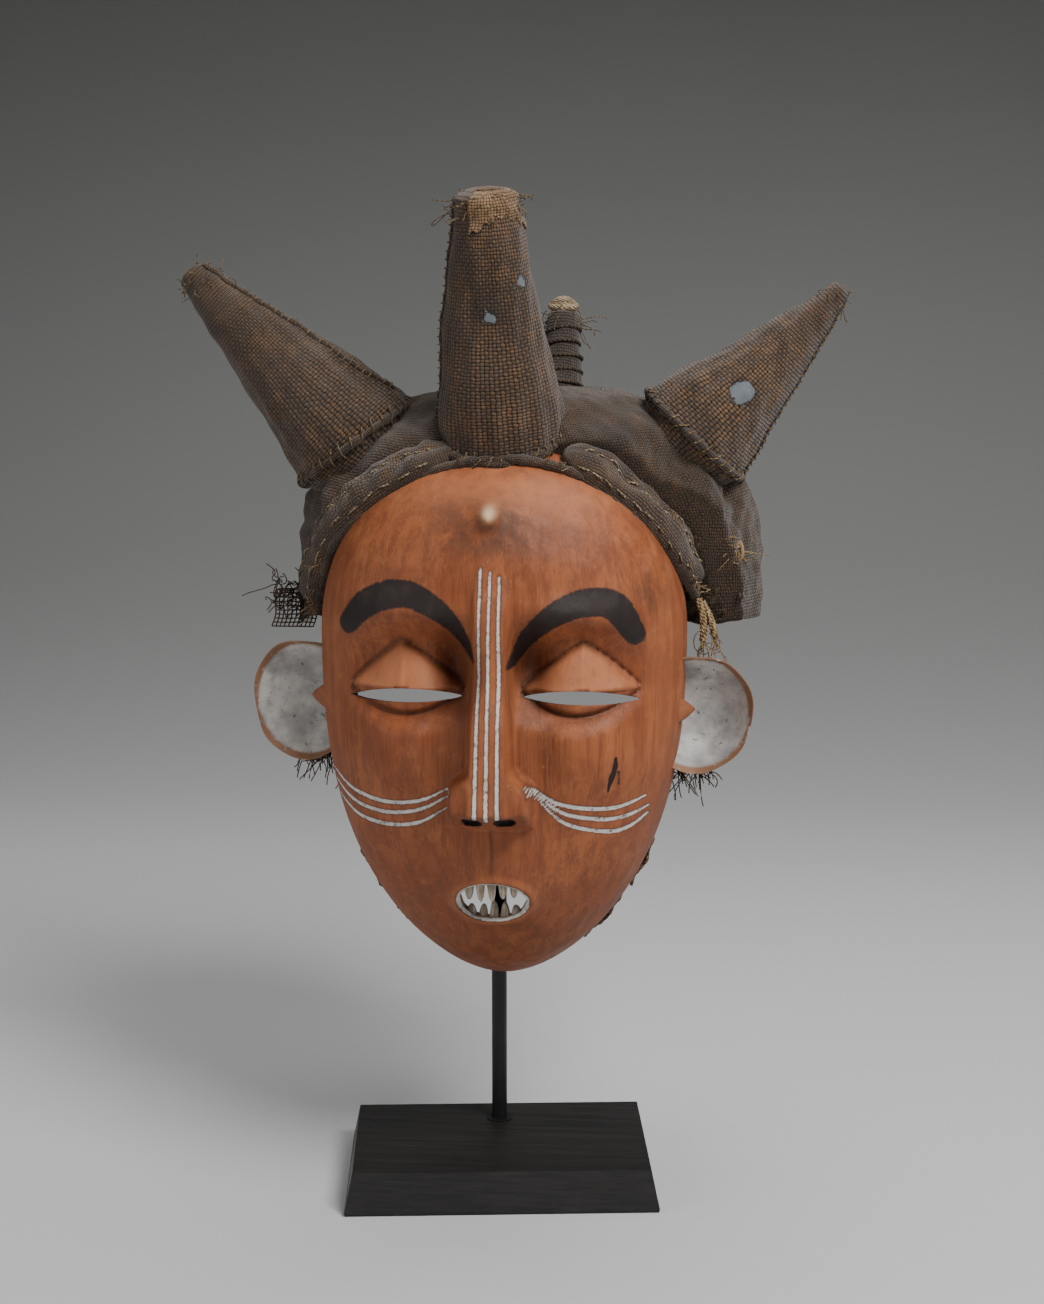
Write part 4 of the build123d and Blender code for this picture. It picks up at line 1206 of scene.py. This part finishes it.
class MASK_OT_horns(bpy.types.Operator):
    """Build the four stuffed cloth horns, the seams that sew them on, and their stitches"""

    bl_idname = "mask.horns"
    bl_label = "Horns"

    def execute(self, context):
        gap = (0.010, 0.009, 0.008)
        welt = woven("welt_cloth", (0.050, 0.038, 0.030), (0.22, 0.115, 0.05), gap, 1.2, 0.5)
        thread = fibre("seam_thread", (0.13, 0.085, 0.045), (0.34, 0.24, 0.13))
        tones = {
            "front": ((0.060, 0.041, 0.029), (0.25, 0.125, 0.052), 0.85),
            "left": ((0.058, 0.042, 0.031), (0.24, 0.125, 0.055), 0.75),
            "right": ((0.064, 0.046, 0.034), (0.28, 0.145, 0.062), 0.85),
            "back": ((0.038, 0.031, 0.027), (0.15, 0.09, 0.05), 0.40),
        }
        rng = np.random.default_rng(17)
        for side in HORNS:
            base, wear, amount = tones[side]
            cloth = woven(f"horn_{side}_cloth", base, wear, (0.010, 0.008, 0.006), 2.0, amount)
            rounded = 1 - 0.035 * np.cos(np.linspace(0, pi / 2, 9))[1:]
            share = np.concatenate([np.linspace(0, 0.965, 190), rounded])
            share = share[:, None] + np.zeros((1, 161))
            turn = np.linspace(0, 2 * pi, 161)[None, :] + np.zeros((share.shape[0], 1))
            points = horn_surface(side, share, turn)
            mean_radius = HORNS[side][3][0] * 0.75
            length = np.linalg.norm(np.subtract(HORNS[side][1], HORNS[side][0]))
            uv = np.stack([turn * mean_radius, share * length], -1)
            foot = points[:1].mean(axis=1, keepdims=True) + np.zeros((1, 161, 3))
            points = np.concatenate([foot, points])
            uv = np.concatenate([uv[:1], uv])
            piece = grid_mesh(f"horn_{side}", points, [cloth], uv)
            place = points_of(piece)
            hole = np.full(len(place), 50.0)
            for where, angle, size in HOLES.get(side, []):
                middle = horn_surface(side, where, angle)
                hole = np.minimum(hole, np.linalg.norm(place - middle, axis=1) - size)
            set_field(piece, "hole", hole)
            finish_piece(piece, [f"horn_{side}_cloth", f"horn_{side}_filling"])

            share, turn, ring = seam_ring(side)
            size = 2.3 + 0.5 * np.sin(turn * 9) + 0.3 * np.sin(turn * 23)
            seam = tubes(f"horn_{side}_seam", ring, size, welt, 12)
            no_holes(seam)
            finish_piece(seam, [f"horn_{side}_seam"])
            stitches = tubes(
                f"horn_{side}_stitches", whip_stitches(side, share, turn, 4, rng), 0.5, thread, 6
            )
            finish_piece(stitches)
        self.long_seams(welt, thread, rng)
        self.tips(thread)
        return {"FINISHED"}

    def long_seams(self, welt, thread, rng):
        """The raised joint along the top of the left horn and down the side of the others."""
        joints = (("left", 0.90 * pi, 1.9), ("right", 0.96 * pi, 1.1), ("front", 0.02 * pi, 1.2))
        for side, angle, size in joints:
            share = np.linspace(0.12, 0.97, 120)
            turn = angle + 0.05 * np.sin(share * 14)
            path = horn_surface(side, share, turn, 0.1)
            seam = tubes(f"horn_{side}_joint", path, size * (1 + 0.25 * np.sin(share * 90)), welt, 10)
            no_holes(seam)
            finish_piece(seam)
            bow = np.linspace(-1, 1, 7)
            paths = []
            for k in range(3, 117, 4):
                reach = 0.13 * rng.uniform(0.7, 1.2)
                lift = 0.2 + (size + 0.7) * np.cos(bow * pi / 2)
                paths.append(horn_surface(side, share[k] + 0.006 * bow, turn[k] + reach * bow, lift))
            finish_piece(tubes(f"horn_{side}_joint_stitches", np.stack(paths), 0.42, thread, 6))

    def tips(self, thread):
        """The folded patch on the front horn's tip, the wrapped back horn, and loose ends on all."""
        gap = (0.04, 0.025, 0.015)
        patch_cloth = woven("patch_cloth", (0.17, 0.10, 0.05), (0.36, 0.22, 0.11), gap, 1.5, 0.6)
        share = np.linspace(0, 1, 40)[:, None] + np.zeros((1, 81))
        turn = np.linspace(0.34 * pi, 1.14 * pi, 81)[None, :] + np.zeros((40, 1))
        low = 0.885 - 0.03 * np.sin(turn * 2.2) + 0.008 * np.sin(turn * 17)
        along = low + (1.0 - low) * share
        skin = horn_surface("front", np.minimum(along, 0.995), turn, 1.0 + 0.7 * np.sin(share * 9 + turn * 2))
        uv = np.stack([turn * 15, along * 160], -1)
        patch = grid_mesh("horn_front_patch", skin, [patch_cloth], uv)
        thicken(patch, 0.9)
        no_holes(patch)
        finish_piece(patch, ["horn_front_patch"])

        s = np.linspace(0, 1, 500)
        wrap = horn_surface("back", 0.34 + 0.60 * s, s * 2 * pi * 7, 0.5 + 0.5 * np.sin(s * 61))
        cord = fibre("wrapping_line", (0.045, 0.033, 0.024), (0.12, 0.085, 0.055))
        finish_piece(tubes("horn_back_wrapping", wrap, 1.1, cord, 8))
        tip = np.array(HORNS["back"][1], float)
        loops = []
        turn = np.linspace(0, 2 * pi, 40)
        for tilt, size in ((0.2, 8.0), (1.3, 6.5), (2.3, 7.0), (2.9, 5.5)):
            y = size * 0.8 * np.sin(turn) * cos(tilt)
            z = 4 + size * 0.7 * np.sin(turn) * sin(tilt)
            loops.append(tip + np.stack([size * np.cos(turn), y, z], -1))
        rope = fibre("knot_rope", (0.24, 0.17, 0.10), (0.52, 0.40, 0.26))
        finish_piece(tubes("horn_back_knot", np.stack(loops), 2.3, rope, 10), ["horn_back_knot"])

        ends = (("front", 1, 60, 7.0), ("left", 2, 40, 6.0), ("right", 3, 16, 4.0), ("back", 4, 30, 9.0))
        for side, seed, count, long in ends:
            rng = np.random.default_rng(seed)
            turn = rng.uniform(0, 2 * pi, count)
            share = rng.uniform(0.90, 0.995, count)
            roots = horn_surface(side, share, turn, 0.4)
            ways = horn_surface(side, share, turn, 1.4) - roots
            ways = ways * 0.8 + rng.normal(0, 0.3, ways.shape)
            paths = frays(roots, ways, long, seed)
            finish_piece(tubes(f"horn_{side}_loose_ends", paths, 0.28, thread, 5))


# ---------------------------------------------------------------- small trims
class MASK_OT_trims(bpy.types.Operator):
    """Build the knots, tassels, torn net, bark strips and loose threads round the edge"""

    bl_idname = "mask.trims"
    bl_label = "Trims"

    def execute(self, context):
        raffia = fibre("raffia", (0.26, 0.16, 0.075), (0.56, 0.40, 0.22))
        dark_thread = fibre("dark_thread", (0.045, 0.032, 0.022), (0.15, 0.10, 0.06))
        self.tuft(raffia)
        self.tassel(raffia)
        self.net(dark_thread)
        self.strips()
        self.hem_threads(raffia, dark_thread)
        return {"FINISHED"}

    def tuft(self, raffia):
        """A knot of raffia on the right of the cap: crossed loops with short ends."""
        middle = np.array([137.0, -6.0, 394.0])
        turn = np.linspace(0, 2 * pi, 50)
        rng = np.random.default_rng(5)
        loops = []
        for _ in range(7):
            a, b = rng.normal(size=3), rng.normal(size=3)
            a /= np.linalg.norm(a)
            b = np.cross(a, b)
            b /= np.linalg.norm(b)
            size = rng.uniform(4.0, 8.0)
            loops.append(middle + size * (np.cos(turn)[:, None] * a + 0.7 * np.sin(turn)[:, None] * b))
        finish_piece(tubes("rear_tuft", np.stack(loops), 1.2, raffia, 8), ["rear_tuft"])
        roots = np.repeat(middle[None], 40, axis=0) + rng.normal(0, 4.5, (40, 3))
        ways = rng.normal(0, 0.5, (40, 3)) + [0.5, -0.3, 0.1]
        finish_piece(tubes("rear_tuft_ends", frays(roots, ways, 5.0, 6), 0.32, raffia, 5))

    def tassel(self, raffia):
        """Two short plaits that hang at the right temple, each of three strands, with frayed ends."""
        t = np.linspace(0, 1, 90)
        strands, ends, ways = [], [], []
        for top, low in (((117, -7, 364), (120, -9, 339)), ((119, -5, 362), (127, -6, 341))):
            top, low = np.array(top, float), np.array(low, float)
            spine = top + (low - top) * t[:, None] + np.array([1.5, 0, 0]) * np.sin(pi * t)[:, None]
            for k in range(3):
                phase = 2 * pi * k / 3 + 22 * t
                strands.append(spine + np.stack([1.3 * np.cos(phase), 1.0 * np.sin(phase), 0 * t], -1))
            ends += [low] * 14
            ways += [(low - top) / 25] * 14
        finish_piece(tubes("temple_tassel", np.stack(strands), 1.05, raffia, 8))
        rng = np.random.default_rng(9)
        roots = np.array(ends) + rng.normal(0, 0.8, (len(ends), 3))
        spread = np.array(ways) + rng.normal(0, 0.3, (len(ends), 3))
        finish_piece(tubes("temple_tassel_ends", frays(roots, spread, 7.0, 10), 0.3, raffia, 5))
        turn = np.linspace(0, 2 * pi, 60)
        ring = np.stack([120 + 5.5 * np.cos(turn), -9 + 1.5 * np.sin(2 * turn), 338 + 7.5 * np.sin(turn)], -1)
        finish_piece(tubes("temple_thread_loop", ring, 0.35, raffia, 6))

    def net(self, thread):
        """A torn scrap of open net at the left temple, with a frayed edge."""
        step, across_count, down_count = 2.6, 11, 10
        s = np.linspace(0, 1, 40)
        paths = []
        for k in range(across_count):
            paths.append(np.stack([k * step + 0 * s, 0 * s, -s * step * (down_count - 1)], -1))
        for k in range(down_count):
            paths.append(np.stack([s * step * (across_count - 1), 0 * s, -k * step + 0 * s], -1))
        paths = np.stack(paths)
        x, z = paths[..., 0], paths[..., 2]
        knots = 0.35 * np.sin(x * pi / step) * np.sin(z * pi / step)
        paths[..., 1] = 2.0 * np.sin(x * 0.25) * np.cos(z * 0.2) + knots
        paths[..., 0] += 0.16 * z + 0.8 * np.sin(z * 0.3)
        paths = paths + [-143.0, 10.0, 364.0]
        finish_piece(tubes("net_scrap", paths, 0.42, thread, 6), ["net_scrap"])
        rng = np.random.default_rng(14)
        roots = np.stack([rng.uniform(-146, -118, 90), rng.uniform(6, 14, 90), rng.uniform(352, 372, 90)], -1)
        ways = rng.normal(0, 0.4, (90, 3)) + [-0.3, -0.2, 0.2]
        finish_piece(tubes("net_scrap_ends", frays(roots, ways, 9.0, 15), 0.35, thread, 5))

    def strips(self):
        """Thin strips of bark tied along the rim of the jaw, with ragged edges."""
        bark = bark_skin()
        levels = {"left": ((158, 206),), "right": ((152, 178), (186, 214))}
        for side, sign in (("left", -1), ("right", 1)):
            for number, (low, high) in enumerate(levels[side]):
                z = np.linspace(low, high, 50)[:, None] + np.zeros((1, 14))
                t = (FACE_MID_Z - z) / FACE_DOWN
                wide = FACE_W * (1 - t**2.6) ** 0.62
                run = np.linspace(0, 1, 14)[None, :]
                ragged = 1.2 * np.sin(z * 0.9 + number) + 0.8 * np.sin(z * 2.1)
                x = sign * (wide + 1.0 + 1.2 * np.sin(z * 0.35) * run)
                y = RIM_Y + 4.5 - (11.0 + ragged) * run
                strip = grid_mesh(f"jaw_strip_{side}_{number + 1}", np.stack([x, y, z], -1), [bark])
                thicken(strip, 1.6, 0)
                finish_piece(strip, [f"jaw_strip_{side}"] if number == 0 else ())

    def hem_threads(self, raffia, dark_thread):
        """Loose ends along the hem, at the temples and below the ears."""
        rng = np.random.default_rng(21)
        s = np.concatenate([rng.uniform(0, 1.4, 60), rng.uniform(1.4, 8.6, 40), rng.uniform(8.6, 10, 60)])
        here, back, outward = hem_frame(s)
        roots = here + back * 3 + outward * 3
        ways = outward * 0.7 + rng.normal(0, 0.35, here.shape)
        finish_piece(tubes("hem_loose_ends", frays(roots, ways, 5.0, 22), 0.28, raffia, 5))
        for side, sign, low in (("left", -1, 268), ("right", 1, 262)):
            roots = np.stack(
                [sign * rng.uniform(103, 124, 46), rng.uniform(-12, -4, 46), low + rng.uniform(-2, 3, 46)], -1
            )
            ways = rng.normal(0, 0.25, roots.shape) + [0.15 * sign, 0.0, -0.9]
            paths = frays(roots, ways, 10.0, 23 + sign)
            finish_piece(tubes(f"ear_{side}_threads", paths, 0.35, dark_thread, 5))


# ---------------------------------------------------------------- stand and stage
def paint_nodes(material, names):
    """Gives the CAD pieces of these names one material, without touching their shape."""
    for name in names:
        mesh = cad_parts[name].data
        mesh.materials.clear()
        mesh.materials.append(material)


class MASK_OT_stand(bpy.types.Operator):
    """Finish the base, post, bracket and fasteners"""

    bl_idname = "mask.stand"
    bl_label = "Stand"

    def execute(self, context):
        paint_nodes(stand_wood(), ["base_block"])
        paint_nodes(stand_metal(), ["mount_post", "crown_bar", "socket_sleeve"])
        paint_nodes(felted("base_felt", (0.010, 0.010, 0.011), (0.030, 0.030, 0.032)), ["base_felt"])
        paint_nodes(
            felted("pad_felt", (0.020, 0.020, 0.022), (0.055, 0.055, 0.060)),
            ["crown_pad_left", "crown_pad_right", "chin_pad"],
        )
        paint_nodes(brushed("zinc_steel", (0.50, 0.50, 0.52)), ["retaining_screw", "retaining_washer"])
        return {"FINISHED"}


class MASK_OT_stage(bpy.types.Operator):
    """Set the floor, the soft lights and the camera"""

    bl_idname = "mask.stage"
    bl_label = "Stage"

    def execute(self, context):
        settings = context.scene.mask_stage
        scene = context.scene
        self.sweep()

        world = bpy.data.worlds.new("studio")
        world.use_nodes = True
        world.node_tree.nodes["Background"].inputs["Color"].default_value = (0.36, 0.37, 0.36, 1)
        world.node_tree.nodes["Background"].inputs["Strength"].default_value = settings.sky
        scene.world = world

        self.light("key", (0.85, -0.80, 1.65), (0.0, 0.0, 0.33), 0.8, settings.key_power)
        self.light("fill", (-1.5, -0.9, 0.9), (0.0, 0.0, 0.33), 1.2, settings.fill_power)
        self.light("top", (0.1, 0.5, 1.9), (0.0, 0.0, 0.3), 1.4, settings.key_power * 0.35)

        data = bpy.data.cameras.new("camera")
        camera = bpy.data.objects.new("camera", data)
        scene.collection.objects.link(camera)
        camera.location = (0.1149, -1.1999, 0.5476)
        heading = Vector((-0.0872, 0.9962, 0.0))
        pitch = 0.18
        forward = heading * cos(pitch) + Vector((0, 0, -sin(pitch)))
        camera.rotation_euler = forward.to_track_quat("-Z", "Y").to_euler()
        data.sensor_fit = "VERTICAL"
        data.sensor_height = 24.0
        data.lens = 24.0 / (2 * 0.326)
        data.clip_end = 50
        scene.camera = camera
        scene.view_settings.view_transform = "AgX"
        return {"FINISHED"}

    def sweep(self):
        """A pale floor that curves up into a grey backdrop, with painted shade that darkens it farther back
        and towards its top.
        """
        turn = np.linspace(0, pi / 2, 40)
        y = np.concatenate([[-4000, 900], 900 + 1600 * np.sin(turn), [2500]])
        z = np.concatenate([[0, 0], 1600 * (1 - np.cos(turn)), [6000]])
        x = np.linspace(-6000, 6000, 9)
        points = np.stack(np.broadcast_arrays(x[None, :], y[:, None], z[:, None]), -1)
        g = Graph("studio_paper")
        place = g.place()
        # Painted shade: the paper darkens farther back and higher up.
        high = g.step(g.part(place, 2), 0.02, 1.5)
        far = g.step(g.part(place, 1), 0.15, 1.7)
        colour = g.mix(far, (0.66, 0.66, 0.67), (0.30, 0.30, 0.295))
        colour = g.mix(high, colour, (0.115, 0.117, 0.112))
        paper = g.done(g.mix(g.math("MULTIPLY", g.noise(place, 3, 3), 0.05), colour, (0.5, 0.5, 0.5)), 0.85)
        return grid_mesh("floor", points, [paper])

    def light(self, name, place, target, size, power):
        data = bpy.data.lights.new(name, "AREA")
        data.shape = "DISK"
        data.size = size
        data.energy = power
        light = bpy.data.objects.new(name, data)
        light.location = place
        light.rotation_euler = (Vector(target) - Vector(place)).to_track_quat("-Z", "Y").to_euler()
        bpy.context.scene.collection.objects.link(light)


class MASK_PT_panel(bpy.types.Panel):
    """Settings and steps of the mask, in the order that they are built"""

    bl_label = "Carved Mask"
    bl_idname = "MASK_PT_panel"
    bl_space_type = "VIEW_3D"
    bl_region_type = "UI"
    bl_category = "Mask"

    def draw(self, context):
        layout = self.layout
        for group in (context.scene.mask_carving, context.scene.mask_cloth, context.scene.mask_stage):
            box = layout.box()
            for name in group.__annotations__:
                box.prop(group, name)
        for step in STEPS:
            layout.operator(step.bl_idname)


GROUPS = {
    "mask_carving": MaskCarvingSettings,
    "mask_cloth": MaskClothSettings,
    "mask_stage": MaskStageSettings,
}
STEPS = (
    MASK_OT_carving,
    MASK_OT_teeth,
    MASK_OT_ears,
    MASK_OT_cap,
    MASK_OT_horns,
    MASK_OT_trims,
    MASK_OT_stand,
    MASK_OT_stage,
)


def register():
    for group in GROUPS.values():
        bpy.utils.register_class(group)
    for step in (*STEPS, MASK_PT_panel):
        bpy.utils.register_class(step)
    for name, group in GROUPS.items():
        setattr(bpy.types.Scene, name, bpy.props.PointerProperty(type=group))


def unregister():
    for name in GROUPS:
        delattr(bpy.types.Scene, name)
    for step in reversed((*STEPS, MASK_PT_panel)):
        bpy.utils.unregister_class(step)
    for group in reversed(GROUPS.values()):
        bpy.utils.unregister_class(group)


def main():
    register()
    bpy.ops.mask.carving()
    bpy.ops.mask.teeth()
    bpy.ops.mask.ears()
    bpy.ops.mask.cap()
    bpy.ops.mask.horns()
    bpy.ops.mask.trims()
    bpy.ops.mask.stand()
    bpy.ops.mask.stage()


if __name__ == "__main__":
    main()
